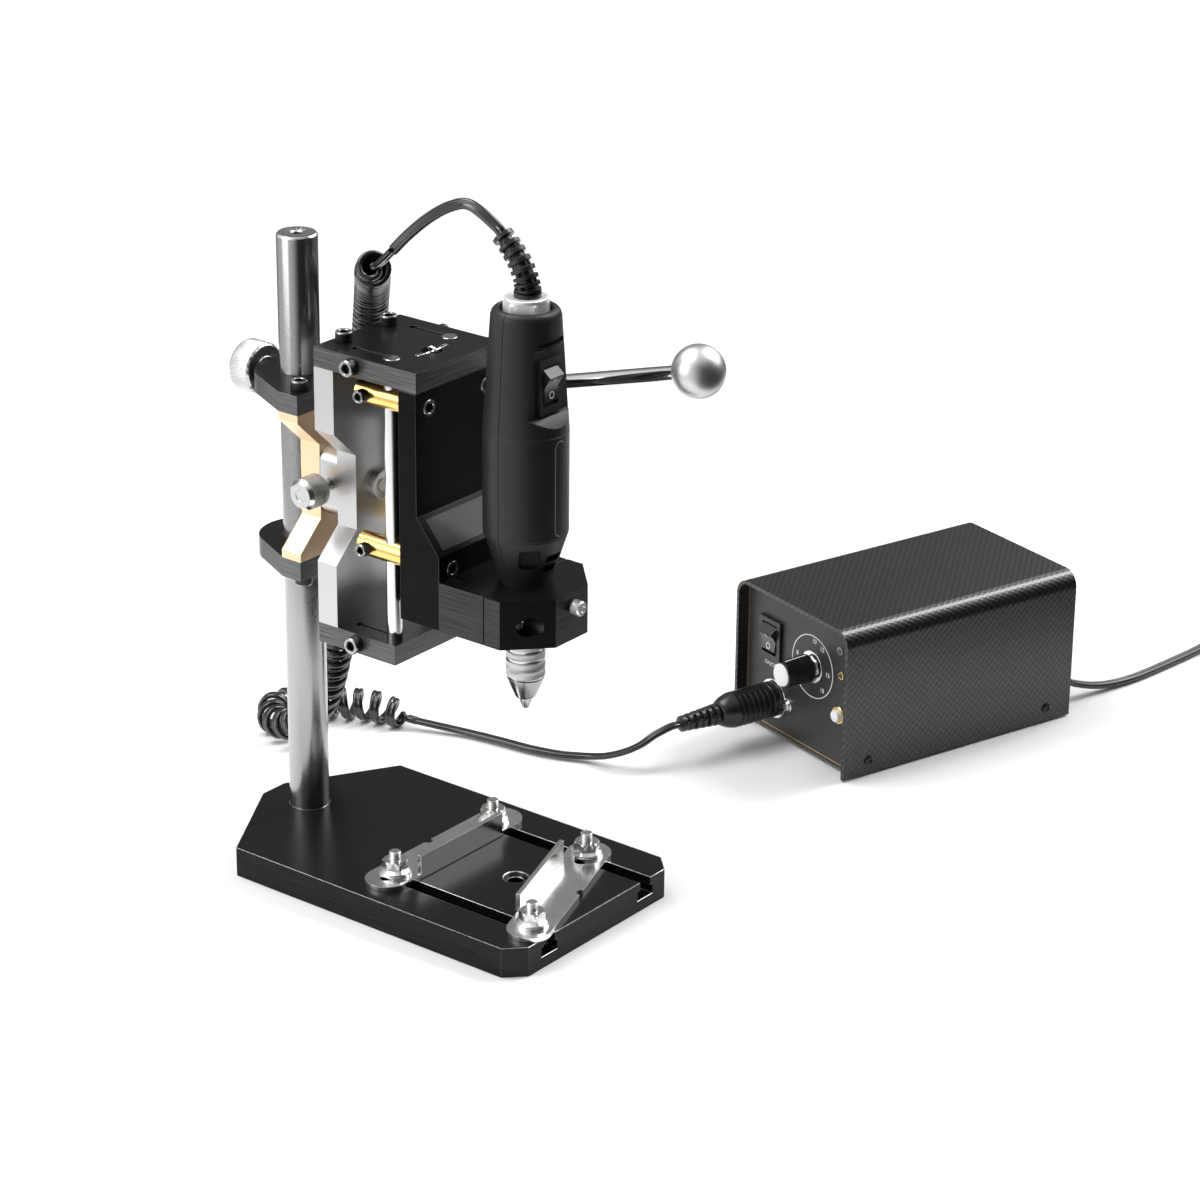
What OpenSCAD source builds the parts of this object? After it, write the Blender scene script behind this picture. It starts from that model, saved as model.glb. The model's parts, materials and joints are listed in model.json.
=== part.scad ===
// Bench drill stand that holds a hand rotary tool, with the tool's curly cord and its speed controller.
// Millimetres. The origin lies on the bench under the spindle; +X is right, -Y is front, +Z is up.

/* [Base] */
// Width of the base plate
base_w = 124; // [112:1:160]
// Thickness of the base plate
base_t = 15.5; // [14:0.5:22]
// Front edge of the base plate, ahead of the spindle
base_front = 45; // [42:1:70]
// Rear edge of the base plate, behind the column axis
base_rear = 25; // [20:1:40]
// Cut-off corner at the front
front_chamfer = 9.3; // [3:0.1:16]
// T-slots, from the middle of the plate
slot_x = 37.2; // [30:0.1:40]
// Opening of a T-slot
slot_w = 7.8; // [7:0.1:9]
// Undercut width of a T-slot
under_w = 12; // [11:0.1:15]
// Undercut height of a T-slot
under_h = 5; // [4.5:0.1:6]
// Lip above the undercut
slot_lip = 4.3; // [3:0.1:6]
// Length of a T-slot from the front edge
slot_len = 107; // [100:1:125]
// Drill hole through the base
drill_d = 8; // [4:0.5:12]

/* [Column] */
// Column diameter
column_d = 20; // [16:0.5:24]
// Column height above the base
column_h = 300; // [270:5:400]
// Depth of the column's socket in the base
socket_depth = 6; // [4:0.5:9]

/* [Column bracket] */
// Height of the tilt axis above the bench
tilt_z = 199.4; // [190:0.2:220]
// Column clamp thickness
clamp_t = 10; // [8:0.5:14]
// Outer radius of the clamps around the column
clamp_r = 22; // [20:0.5:26]
// Height of the gold bracket
bracket_h = 74.8; // [72:0.2:90]
// Thickness of the gold bracket
bracket_t = 12.2; // [10:0.2:14]
// From the column axis to the bracket's front face
bracket_reach = 26.2; // [26:0.2:34]
// Lock knob diameter
lock_knob_d = 26; // [18:1:32]

/* [Head] */
// Width of the head's plates
head_w = 62; // [60:1:70]
// Width of the plates at the waist
waist_w = 32; // [30:1:34]
// Height of the silver back plate
back_h = 130; // [126:1:150]
// Thickness of the silver back plate
back_t = 12; // [10:0.5:16]
// Thickness of the tilt boss
boss_t = 10.9; // [10.5:0.1:14]
// Thickness of the top and bottom plates
end_t = 10; // [9:0.5:14]
// Depth of the top plate from the rear of the back plate
top_depth = 63.4; // [62.6:0.2:68]
// Guide rod diameter
rod_d = 8; // [6:0.5:9]
// Guide rods, from the middle
rod_x = 20.7; // [20:0.1:22]

/* [Carriage and feed] */
// From the spindle axis to the carriage foot's front
throat = 27; // [27:0.5:40]
// Thickness of the carriage plate
carriage_t = 10.5; // [9:0.5:11]
// Thickness of the carriage foot
foot_t = 24; // [20:0.5:30]
// Height of the carriage
carriage_h = 114.2; // [112:0.2:118]
// Gear module of the feed
gear_m = 1; // [0.8:0.1:1]
// Teeth on the feed pinion
pinion_teeth = 30; // [28:1:30]
// Face width of the pinion and rack
gear_w = 6.5; // [5:0.5:6.5]
// Lever length from hub to ball
lever_len = 144; // [110:1:144]
// Angle of the lever above level
lever_rise = 16; // [5:1:30]
// Ball knob diameter
ball_d = 25.5; // [18:0.5:26]

/* [Tool] */
// Diameter of the tool's nose and of the clamp bore
nose_d = 25; // [22:0.5:28]
// Largest diameter of the tool's body
barrel_d = 40.5; // [38:0.5:44]
// Diameter of the tool's top
top_d = 32.5; // [31:0.5:36]
// Wall of the plastic shell
shell_t = 2.5; // [2:0.1:3]
// Length of the tapered grip
grip_h = 58.5; // [56:0.5:70]
// Chuck sleeve diameter
sleeve_d = 19; // [16:0.5:22]
// Height of the arm that clamps the tool
arm_h = 24.2; // [23:0.2:26]

/* [Controller] */
// Length of the controller's cover
box_l = 156; // [150:0.5:200]
// Width of the controller's cover
box_w = 96; // [94:0.1:116]
// Top of the controller's cover
box_top = 84.3; // [82:0.1:110]
// Sheet thickness of the cover
box_t = 2; // [1.5:0.1:2.5]
// Turn of the controller about the vertical
box_yaw = -17.5; // [-17.6:0.01:-17.4]
// Speed knob diameter
speed_knob_d = 15.5; // [12:0.5:17]

/* [Cords] */
// Width of the curly cord's flat section
curly_w = 5.4; // [4.6:0.1:5.4]
// Thickness of the curly cord's flat section
curly_t = 2.8; // [2.2:0.1:2.8]
// Outer diameter of the curls
curl_d = 17.5; // [14:0.5:17.5]
// Curls that stand open at the top
open_curls = 2; // [1:1:3]
// Tight curls below them
tight_curls = 12; // [6:1:13]
// Curls that the cord's weight draws out
hung_curls = 28; // [16:1:34]
// Curls that lie on the bench
floor_curls = 17; // [8:1:20]
// Width of the mains cord
mains_w = 5.5; // [4:0.1:5.5]
// Thickness of the mains cord
mains_t = 3.6; // [2.4:0.1:3.6]
// Loops in the mains cord's coil
mains_loops = 6; // [4:2:6]

/* [Hidden] */
$fn = 48;

// Clearances
run_fit = 0.05;      // a shaft that turns or slides
seat_gap = 0.2;      // parts that are clamped or slide face to face
screw_fit = 0.1;     // a screw in its hole
eps = 0.01;

// Fasteners
m4_d = 4;
m4_head_d = 6.6;
m4_head_h = 4.5;
m5_d = 5;
m5_head_d = 8.5;
m5_head_h = 5;
m6_d = 6;
hex_af = 0.5;        // hex socket across flats, as a share of the head

// Chain along Y, from the spindle back to the column
carriage_rear = throat + foot_t;
rod_y = carriage_rear + 12.5;
back_front = carriage_rear + 40.2;
boss_front = back_front + back_t;
boss_rear = boss_front + boss_t;
bracket_front = boss_rear + seat_gap;
column_y = bracket_front + bracket_reach;
base_side_y = column_y - 7;
rear_edge_w = 16;

// Heights of the bracket and head
upper_clamp_z = tilt_z + bracket_h / 2;
lower_clamp_z = tilt_z - bracket_h / 2 - clamp_t;
clamp_screw_x = 22.5;
clamp_screw_y = bracket_front + bracket_t / 2;
waist_flat = 19;
waist_kink = 33.3;
head_top = tilt_z + back_h / 2;
head_bottom = tilt_z - back_h / 2;
head_screw_x = 16;
head_screw_y = back_front + back_t / 2;
slit_w = 2;
slit_len = 22.7;
side_screw_y = rod_y + 15.5;
bottom_depth = 48.5;
spindle_fit_d = 12;
pivot_head_d = 15;
pivot_head_t = 3;
boss_w = 32;
boss_h = 36;
boss_r = 8;
thumb_x = 23;
thumb_len = 13.5;
thumb_d = 16;

// Carriage
carriage_top = head_top - 0.4;
carriage_bottom = carriage_top - carriage_h;
slope_top = carriage_bottom + 53.5;
slope_bottom = carriage_bottom + 37;
arm_top = carriage_bottom + arm_h;
bush_d = 12;
bush_len = 31;
bush_z = [carriage_bottom + 28.2, carriage_bottom + 105.2];
spring_y = carriage_rear + 5.7;
spring_d = 9;
spring_wire = 1.4;
spring_curls = 12;
spring_pin_z = head_top + end_t - 1;
spring_pin_d = 1.6;
peg_z = carriage_bottom + 45;
peg_d = 4;

// Feed gears
pitch_r = gear_m * pinion_teeth / 2;
pinion_y = back_front - 5 - pitch_r;
pinion_z = carriage_bottom + 90.3;
pinion_x = 8;
feed_travel = 34;
shaft_d = 6;
bearing_x = 25.4;
bearing_w = 7.6;
hub_x = 36;
hub_w = 12;
hub_d = 14;
lever_d = 7.5;
gear_backlash = 0.3;

// Tool
cone_h = 24.8;
barrel_h = 50.2;
nose_h = 27;
nose_bottom = arm_top - nose_h;
cone_top = arm_top + cone_h;
barrel_top = cone_top + barrel_h;
tool_top = barrel_top + grip_h;
cup_h = 7.5;
spindle_d = 8;
switch_z = barrel_top + 23.5;
switch_y = -13;
switch_w = 15.5;
switch_h = 27;
nut_flats_r = 10.9;
nut_h = 11;
nut_z = tool_top - cup_h;
relief_z = nut_z + nut_h + 1.5 + 0.15;
chuck_gap = 2;
sleeve_h = 20.6;
chuck_cone_h = 10.8;
jaw_h = 5.9;

// Arm
arm_gap = 0.3;
clamp_face = 27.7;
clamp_corner_y = -9.6;
clamp_nose_x = 12;
clamp_screw_in = 21.5;
clamp_screw_z = carriage_bottom + 10.7;
arm_thumb_z = carriage_bottom + 17.2;

// Controller frame: u runs along the box away from the panel, w across it to the far side
box_place = [215.9, -38.6, 0];
panel_u = 6;
panel_t = 2;
box_r = 9;
box_bottom = 1;
foot_h = 3;
floor_t = 2;
rear_u = box_l - 4.5;
rocker_w = box_w - 24.3;
rocker_z = 55.8;
rocker_frame_w = 18;
rocker_frame_h = 22.6;
knob_w = 36.3;
knob_z = 51.9;
knob_cap_u = -15.4;
plug_w = box_w - 28.2;
plug_z = 22.2;
button_w = 12.9;
button_z = 32.6;
button_d = 6.4;
gland_w = 16;
gland_z = 12;

// Cord routes: round points chosen by hand; each cord's ends follow from what it meets
relief_path = [[0, -0.8, 0], [0, -0.8, 4], [0, 0.6, 9], [0, 4.2, 15.5], [0, 9.4, 21.5], [0, 14.2, 26]];
arc_points = [[0, 33, 349], [0, 45, 346], [0, 58, 338], [2, 72, 327]];
coil_lead = 25.5;
cord_gap = 0.3;
coil_points = [
    [6, 85, 316], [9, 94, 308.5], [12, 101, 303.5], [19, 109, 299], [27, 117, 293],
    [34, 123, 287], [40, 129, 277], [43, 133, 262], [45, 137, 240], [46, 142, 210],
    [47, 148, 170], [48, 156, 120], [51, 166, 78], [57, 180, 46],
    [63, 196, 27], [67, 214, 14], [73, 232, 9.5], [86, 243, 9.5], [99, 237, 9.5], [107, 226, 9.5],
    [115, 214, 9.5], [120, 201, 9.5], [123, 190, 7], [127, 178, 5]
];
run_points = [
    [131, 167, 4], [135, 156, 3], [138, 143, 2.6], [140, 129, 2.6], [142, 112, 2.6], [146, 96, 2.6],
    [150, 87, 2.8], [153, 79, 3.6], [154.5, 70, 6], [158, 60.5, 10], [162.5, 53.5, 14.5], [168, 49.3, 19]
];
mains_points = [
    [385, -75, 9.6], [397, -79.5, 5.4], [410, -84, 3.1], [428, -89, 2.2], [454, -93, 2], [489, -97, 2],
    [512, -96, 1.9], [530, -90, 1.9]
];
coil_centre = [558, -128];
coil_inner = 22;
coil_step = 6.3;
mains_tail = 28;

// ---------------------------------------------------------------- sweeps
function unit(v) = v / norm(v);
function smooth_step(x) = let (c = max(0, min(1, x))) c * c * (3 - 2 * c);

// Point on a Catmull-Rom curve through p, on the span that starts at p[i]
function curve_point(p, i, t) =
    let (
        n = len(p) - 1,
        a = i == 0 ? 2 * p[0] - p[1] : p[i - 1],
        b = p[i],
        c = p[i + 1],
        d = i + 2 > n ? 2 * p[n] - p[n - 1] : p[i + 2]
    )
    0.5 * (2 * b + (c - a) * t + (2 * a - 5 * b + 4 * c - d) * t * t + (3 * b - a - 3 * c + d) * t * t * t);

// A smooth path with k steps on each span
function smooth_path(p, k) = concat(
    [for (i = [0:len(p) - 2]) for (j = [0:k - 1]) curve_point(p, i, j / k)],
    [p[len(p) - 1]]
);

function tangents(p) = [for (i = [0:len(p) - 1]) unit(p[min(i + 1, len(p) - 1)] - p[max(i - 1, 0)])];
function across(v, t) = unit(v - (v * t) * t);

// Normals carried along a path without twist, from the direction n0
function carried(t, n0) = [
    for (i = 0, n = across(n0, t[0]); i < len(t); i = i + 1, n = across(n, t[min(i, len(t) - 1)])) n
];
function running_lengths(p) = [
    for (i = 0, s = 0; i < len(p); i = i + 1, s = i < len(p) ? s + norm(p[i] - p[i - 1]) : s) s
];
function path_length(p) = let (s = running_lengths(p)) s[len(s) - 1];

// Corner points of a tube with an oval section: a along the normal, b across it
function ring_points(p, normals, a, b, sides) =
    let (t = tangents(p))
    [
        for (i = [0:len(p) - 1])
            let (n = across(normals[i], t[i]), c = cross(t[i], n))
            for (k = [0:sides - 1])
                p[i] + n * a[min(i, len(a) - 1)] * cos(360 * k / sides)
                    + c * b[min(i, len(b) - 1)] * sin(360 * k / sides)
    ];

// A closed tube along p; a and b are lists of half sizes, one value or one for each ring
module tube(p, normals, a, b, sides) {
    rings = len(p);
    faces = concat(
        [
            for (i = [0:rings - 2])
                for (k = [0:sides - 1])
                    let (
                        m = (k + 1) % sides,
                        q0 = i * sides + k,
                        q1 = i * sides + m,
                        q2 = (i + 1) * sides + m,
                        q3 = (i + 1) * sides + k
                    )
                    for (f = [[q0, q2, q1], [q0, q3, q2]]) f
        ],
        [[for (k = [0:sides - 1]) k]],
        [[for (k = [sides - 1:-1:0]) (rings - 1) * sides + k]]
    );
    polyhedron(points = ring_points(p, normals, a, b, sides), faces = faces, convexity = 10);
}

// Values along a path at the length s, read from a table of lengths and vectors
function vector_at(lengths, v, s) = [
    for (axis = [0:2]) lookup(s, [for (i = [0:len(v) - 1]) [lengths[i], v[i][axis]]])
];

// A winding around a centre path: turns is a table of turn number and place along the path.
// Returns [point, outward direction] for each ring.
function winding(centre, turns, total, radius, n0, per_turn, ramp) =
    let (
        t = tangents(centre),
        n = carried(t, n0),
        s = running_lengths(centre),
        whole = s[len(s) - 1],
        steps = round(total * per_turn)
    )
    concat(
        [
            for (share = [0:0.25:0.75])
                let (at = share * turns[0][1]) [vector_at(s, centre, at), unit(vector_at(s, n, at))]
        ],
        [
            for (k = [0:steps])
                let (
                    turn = k / per_turn,
                    at = lookup(turn, turns),
                    c = vector_at(s, centre, at),
                    e1 = unit(vector_at(s, n, at)),
                    e2 = cross(unit(vector_at(s, t, at)), e1),
                    out = e1 * cos(360 * turn) + e2 * sin(360 * turn),
                    r = radius * smooth_step(turn / ramp) * smooth_step((total - turn) / ramp)
                )
                [c + out * r, out]
        ],
        [[
            vector_at(s, centre, whole),
            let (
                e1 = unit(vector_at(s, n, whole)),
                e2 = cross(unit(vector_at(s, t, whole)), e1)
            )
            e1 * cos(360 * total) + e2 * sin(360 * total)
        ]]
    );

// Least distance between the surface points of rings at least one turn less two rings apart
function least_gap(points, rings, sides, near, far) = min([
    for (i = [0:rings - 1 - near])
        for (j = [i + near:min(rings - 1, i + far)])
            for (k = [0:sides - 1])
                for (m = [0:sides - 1])
                    norm(points[i * sides + k] - points[j * sides + m])
]);

// ---------------------------------------------------------------- shared shapes
// Turns an outline drawn in (y, z) into a solid from x0 along +X
module along_x(x0, length) {
    translate([x0, 0, 0]) rotate([90, 0, 90]) linear_extrude(length) children();
}

// Turns an outline drawn in (x, z) into a solid from y0 along +Y
module along_y(y0, length) {
    translate([0, y0 + length, 0]) rotate([90, 0, 0]) linear_extrude(length) children();
}

module rod_y(d, y0, length) {
    translate([0, y0, 0]) rotate([-90, 0, 0]) cylinder(d = d, h = length);
}

module rod_x(d, x0, length) {
    translate([x0, 0, 0]) rotate([0, 90, 0]) cylinder(d = d, h = length);
}

// Rectangle with true round corners, centred
module round_rect(w, h, r) {
    square([w - 2 * r, h], center = true);
    square([w, h - 2 * r], center = true);
    for (x = [-1, 1]) for (y = [-1, 1]) translate([x * (w / 2 - r), y * (h / 2 - r)]) circle(r);
}

// Slot outline along x with round ends
module slot_outline(length, d) {
    square([length - d, d], center = true);
    for (x = [-1, 1]) translate([x * (length - d) / 2, 0]) circle(d = d);
}

// Cap screw along Z: the head stands above z = 0 and the shank hangs below it
module cap_screw(d, head_d, head_h, length) {
    difference() {
        cylinder(d = head_d, h = head_h);
        translate([0, 0, head_h / 2]) cylinder(d = head_d * hex_af * 1.15, h = head_h, $fn = 6);
    }
    translate([0, 0, -length]) cylinder(d = d, h = length + eps);
}

module cap_screw_hole(d, length) {
    translate([0, 0, -length - screw_fit]) cylinder(d = d + 2 * screw_fit, h = length + 2 * screw_fit);
}

// Hourglass plate outline in (x, z) about the tilt axis
module hourglass(w, waist, h) {
    polygon([
        for (p = [[w / 2, h / 2], [w / 2, waist_kink], [waist / 2, waist_flat], [waist / 2, -waist_flat],
                  [w / 2, -waist_kink], [w / 2, -h / 2], [-w / 2, -h / 2], [-w / 2, -waist_kink],
                  [-waist / 2, -waist_flat], [-waist / 2, waist_flat], [-w / 2, waist_kink],
                  [-w / 2, h / 2]])
            [p.x, p.y + tilt_z]
    ]);
}

// Knurled head along Z from z = 0: a drum with straight flutes
module knurled(d, h, flutes) {
    difference() {
        cylinder(d = d, h = h);
        for (i = [0:flutes - 1])
            rotate(360 * i / flutes) translate([d / 2, 0, h * 0.12])
                rotate(45) cube([d * 0.06, d * 0.06, h * 1.52], center = true);
    }
}

// ---------------------------------------------------------------- base
function base_outline() = [
    [-base_w / 2 + front_chamfer, -base_front], [base_w / 2 - front_chamfer, -base_front],
    [base_w / 2, -base_front + front_chamfer], [base_w / 2, base_side_y],
    [rear_edge_w / 2, column_y + base_rear], [-rear_edge_w / 2, column_y + base_rear],
    [-base_w / 2, base_side_y], [-base_w / 2, -base_front + front_chamfer]
];
slot_floor = base_t - slot_lip - under_h;
bolt_d = 8;

module base_plate() {
    color("#1b1b1d") difference() {
        linear_extrude(base_t) polygon(base_outline());
        for (x = [-slot_x, slot_x]) {
            translate([x - slot_w / 2, -base_front - 1, slot_floor]) cube([slot_w, slot_len + 1, base_t]);
            translate([x - under_w / 2, -base_front - 1, slot_floor]) cube([under_w, slot_len + 1, under_h]);
        }
        translate([0, drill_y, -1]) cylinder(d = drill_d, h = base_t + 2);
        translate([0, drill_y, base_t - drill_sink]) cylinder(d1 = drill_d, d2 = drill_d + 2 * drill_sink,
                                                              h = drill_sink + eps);
        translate([0, column_y, base_t - socket_depth])
            cylinder(d = column_d + 2 * run_fit, h = socket_depth + 1);
        translate([0, column_y, -1]) cylinder(d = bolt_d + 2 * screw_fit, h = base_t);
        translate([0, column_y, -1])
            cylinder(d = bolt_head_d + 2 * screw_fit, h = bolt_head_h + 1 + screw_fit);
    }
}
drill_y = 6;
drill_sink = 2.2;
bolt_head_d = 13;
bolt_head_h = 5;

// Work fence: a bent strip held by two T-bolts, drawn about its own middle at bench height 0
fence_len = 108;
fence_w = 22;
fence_t = 2.4;
fence_lip_w = 62;
fence_lip_h = 10.1;
lip_proud = 0.3;     // the bend stands a little outside the strip's edge
fence_slot_x = 37.5;
fence_slot_len = 19;
rear_fence_y = 51;
front_fence_y = -21.4;
front_fence_turn = 19.1;
t_head = 11.4;
t_head_h = 4.4;
washer_d = 16;
washer_t = 1.2;
nut_r = 6.6;
nut_top = 5.5;

module fence_strip(side) {
    translate([0, 0, base_t + run_fit]) difference() {
        union() {
            linear_extrude(fence_t) slot_outline(fence_len, fence_w);
            translate([
                -fence_lip_w / 2, side * (fence_w / 2 + lip_proud) - (side > 0 ? fence_t : 0), lip_proud
            ])
                cube([fence_lip_w, fence_t, fence_t + fence_lip_h - lip_proud]);
        }
        for (x = [-fence_slot_x, fence_slot_x])
            translate([x, 0, -1]) linear_extrude(fence_t + 2) slot_outline(fence_slot_len, m6_d + 0.5);
        translate([0, -side * fence_w / 2, -1]) cylinder(d = 5, h = fence_t + 2);
    }
}

// T-bolt with its square head in the undercut, and its washer and flange nut on the strip
module fence_bolt() {
    strip_top = base_t + fence_t + 2 * run_fit;
    translate([-t_head / 2, -t_head / 2, slot_floor + under_h - t_head_h - run_fit])
        cube([t_head, t_head, t_head_h]);
    translate([0, 0, slot_floor + 1]) cylinder(d = m6_d, h = strip_top + 12 - slot_floor - 1);
    difference() {
        union() {
            translate([0, 0, strip_top]) cylinder(d = washer_d, h = washer_t);
            translate([0, 0, strip_top + washer_t]) cylinder(d1 = washer_d - 0.7, d2 = 2 * nut_r, h = 1.3);
            translate([0, 0, strip_top + washer_t]) cylinder(r = nut_r, h = nut_top, $fn = 6);
        }
        translate([0, 0, strip_top - 1]) cylinder(d = m6_d - 0.2, h = 1);
    }
}

module rear_fence() {
    color("#d9d9d6") {
        translate([0, rear_fence_y, 0]) fence_strip(-1);
        for (x = [-slot_x, slot_x]) translate([x, rear_fence_y, 0]) fence_bolt();
    }
}

module front_fence() {
    color("#d9d9d6") {
        translate([0, front_fence_y, 0]) rotate(front_fence_turn) fence_strip(1);
        for (x = [-slot_x, slot_x])
            translate([x, front_fence_y + x * tan(front_fence_turn), 0]) fence_bolt();
    }
}

// ---------------------------------------------------------------- column
column_bottom = base_t - socket_depth + seat_gap;
column_top = base_t + column_h;

module column() {
    color("#a9a9a7") translate([0, column_y, 0]) difference() {
        union() {
            translate([0, 0, column_bottom]) cylinder(d = column_d, h = column_top - 1 - column_bottom);
            translate([0, 0, column_top - 1 - eps]) cylinder(d1 = column_d, d2 = column_d - 2, h = 1 + eps);
        }
        translate([0, 0, column_top - 15]) cylinder(d = m6_d - 1, h = 16);
        translate([0, 0, column_bottom - 1]) cylinder(d = bolt_d, h = 21);
    }
}

module column_bolt() {
    color("#3a3a3c") translate([0, column_y, 0]) {
        difference() {
            translate([0, 0, seat_gap]) cylinder(d = bolt_head_d, h = bolt_head_h - seat_gap);
            translate([0, 0, 0]) cylinder(d = 7, h = 3, $fn = 6);
        }
        translate([0, 0, bolt_head_h - eps]) cylinder(d = bolt_d, h = column_bottom + 20 - bolt_head_h);
    }
}

// ---------------------------------------------------------------- bracket on the column
function touch_point(p, r) = let (a = atan2(p.y, p.x) + acos(r / norm(p))) [r * cos(a), r * sin(a)];

tangent_cut = 0.05;  // the flanks cross the round edge rather than graze it
module clamp_outline() {
    shoulder = [head_w / 2, -bracket_reach + bracket_t];
    touch = touch_point(shoulder, clamp_r - tangent_cut);
    circle(clamp_r, $fn = 96);
    polygon([
        [-touch.x, touch.y], [-shoulder.x, shoulder.y], [-head_w / 2, -bracket_reach],
        [head_w / 2, -bracket_reach], shoulder, touch
    ]);
}

module column_clamp(z) {
    translate([0, column_y, z]) difference() {
        linear_extrude(clamp_t) clamp_outline();
        translate([0, 0, -1]) cylinder(d = column_d + 2 * run_fit, h = clamp_t + 2);
        for (x = [-clamp_screw_x, clamp_screw_x])
            translate([x, clamp_screw_y - column_y, -1]) cylinder(d = m5_d + 2 * screw_fit, h = clamp_t + 2);
    }
}

module upper_column_clamp() {
    color("#1b1b1d") difference() {
        column_clamp(upper_clamp_z);
        translate([0, 0, upper_clamp_z + clamp_t / 2])
            rod_y(m6_d + 2 * run_fit, column_y + column_d / 2 - 1, clamp_r);
    }
}

module lower_column_clamp() {
    color("#1b1b1d") column_clamp(lower_clamp_z);
}

bracket_screw_grip = 7.5;
bracket_screw_len = clamp_t + bracket_screw_grip;
module pivot_bracket() {
    color("#b9935f") difference() {
        along_y(bracket_front, bracket_t) hourglass(head_w, waist_w, bracket_h);
        for (x = [-clamp_screw_x, clamp_screw_x]) for (s = [-1, 1])
            translate([x, clamp_screw_y, tilt_z + s * (bracket_h / 2 - bracket_screw_grip - 1)])
                rotate([s > 0 ? 0 : 180, 0, 0])
                    cylinder(d = m5_d + 2 * screw_fit, h = bracket_screw_grip + 2);
        translate([0, 0, tilt_z]) rod_y(spindle_fit_d + 2 * screw_fit, bracket_front - 1, bracket_t + 2);
    }
}

module bracket_bolts() {
    color("#2c2c2e") {
        for (x = [-clamp_screw_x, clamp_screw_x]) {
            translate([x, clamp_screw_y, upper_clamp_z + clamp_t])
                cap_screw(m5_d, m5_head_d, m5_head_h, bracket_screw_len);
            translate([x, clamp_screw_y, lower_clamp_z]) rotate([180, 0, 0])
                cap_screw(m5_d, m5_head_d, m5_head_h, bracket_screw_len);
        }
        translate([0, 0, tilt_z]) {
            rod_y(pivot_head_d, back_front - run_fit - pivot_head_t, pivot_head_t);
            rod_y(spindle_fit_d, back_front - run_fit - eps, bracket_front + bracket_t - back_front + 0.5);
            rod_y(spindle_fit_d + 5, bracket_front + bracket_t, 2);
        }
    }
}

lock_knob_len = 13;
module column_lock_knob() {
    z = upper_clamp_z + clamp_t / 2;
    color("#bdbdbb") translate([0, column_y, z]) {
        rod_y(m6_d, column_d / 2 + run_fit, clamp_r - column_d / 2 + 3);
        rod_y(lock_knob_d * 0.5, clamp_r + seat_gap, 1);
        translate([0, clamp_r + 0.9, 0]) rotate([-90, 0, 0]) knurled(lock_knob_d, lock_knob_len, 36);
    }
}

// ---------------------------------------------------------------- head
module back_plate() {
    color("#c4c4c3") difference() {
        along_y(back_front, back_t) hourglass(head_w, waist_w, back_h);
        translate([0, 0, tilt_z]) rod_y(spindle_fit_d + 2 * run_fit, back_front - 1, back_t + 2);
        for (x = [-head_screw_x, head_screw_x]) {
            translate([x, head_screw_y, head_top - 15]) cylinder(d = m5_d + 2 * screw_fit, h = 16);
            translate([x, head_screw_y, head_bottom - 1]) cylinder(d = m5_d + 2 * screw_fit, h = 16);
        }
    }
}

module tilt_boss() {
    color("#c4c4c3") difference() {
        along_y(boss_front, boss_t) translate([0, tilt_z]) round_rect(boss_w, boss_h, boss_r);
        translate([0, 0, tilt_z]) rod_y(spindle_fit_d + 2 * run_fit, boss_front - 1, boss_t + 2);
        translate([0, boss_front + boss_t / 2, tilt_z])
            rod_x(m6_d + 2 * run_fit, -boss_w / 2 - 1, boss_w / 2);
    }
}

module tilt_thumbscrew() {
    y = boss_front + boss_t / 2;
    color("#cfcfcd") translate([0, y, tilt_z]) {
        rod_x(m6_d, -thumb_x - eps, thumb_x - spindle_fit_d / 2 - seat_gap);
        translate([-thumb_x, 0, 0]) rotate([0, -90, 0]) knurled(thumb_d, thumb_len, 28);
    }
}

// Top or bottom plate: rod holes that a slit and a side screw pinch
module end_plate(z, depth) {
    front = boss_front - depth;
    difference() {
        translate([-head_w / 2, front, z]) cube([head_w, depth, end_t]);
        for (x = [-rod_x, rod_x]) {
            translate([x, rod_y, z - 1]) cylinder(d = rod_d + 0.04, h = end_t + 2);
            translate([x - slit_w / 2, rod_y, z - 1]) cube([slit_w, slit_len, end_t + 2]);
            translate([x, rod_y + slit_len, z - 1]) cylinder(d = 4, h = end_t + 2);
        }
        for (s = [-1, 1]) translate([0, side_screw_y, z + end_t / 2])
            rod_x(m5_d + 2 * screw_fit, s > 0 ? head_w / 2 - 18 : -head_w / 2 - 1, 19);
        for (x = [-head_screw_x, head_screw_x])
            translate([x, head_screw_y, z - 1]) cylinder(d = m5_d + 2 * screw_fit, h = end_t + 2);
    }
}

spring_hole_d = 11;
module top_plate() {
    color("#1b1b1d") difference() {
        end_plate(head_top, top_depth);
        translate([0, spring_y, head_top - 1]) cylinder(d = spring_hole_d, h = end_t + 2);
        translate([-11, spring_y - spring_pin_d / 2 - screw_fit, spring_pin_z - spring_pin_d / 2])
            cube([22, spring_pin_d + 2 * screw_fit, end_t]);
    }
}

module bottom_plate() {
    color("#1b1b1d") end_plate(head_bottom - end_t, bottom_depth);
}

module guide_rods() {
    color("#d2d2d0") for (x = [-rod_x, rod_x])
        translate([x, rod_y, head_bottom - end_t]) cylinder(d = rod_d, h = back_h + 2 * end_t);
}

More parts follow.
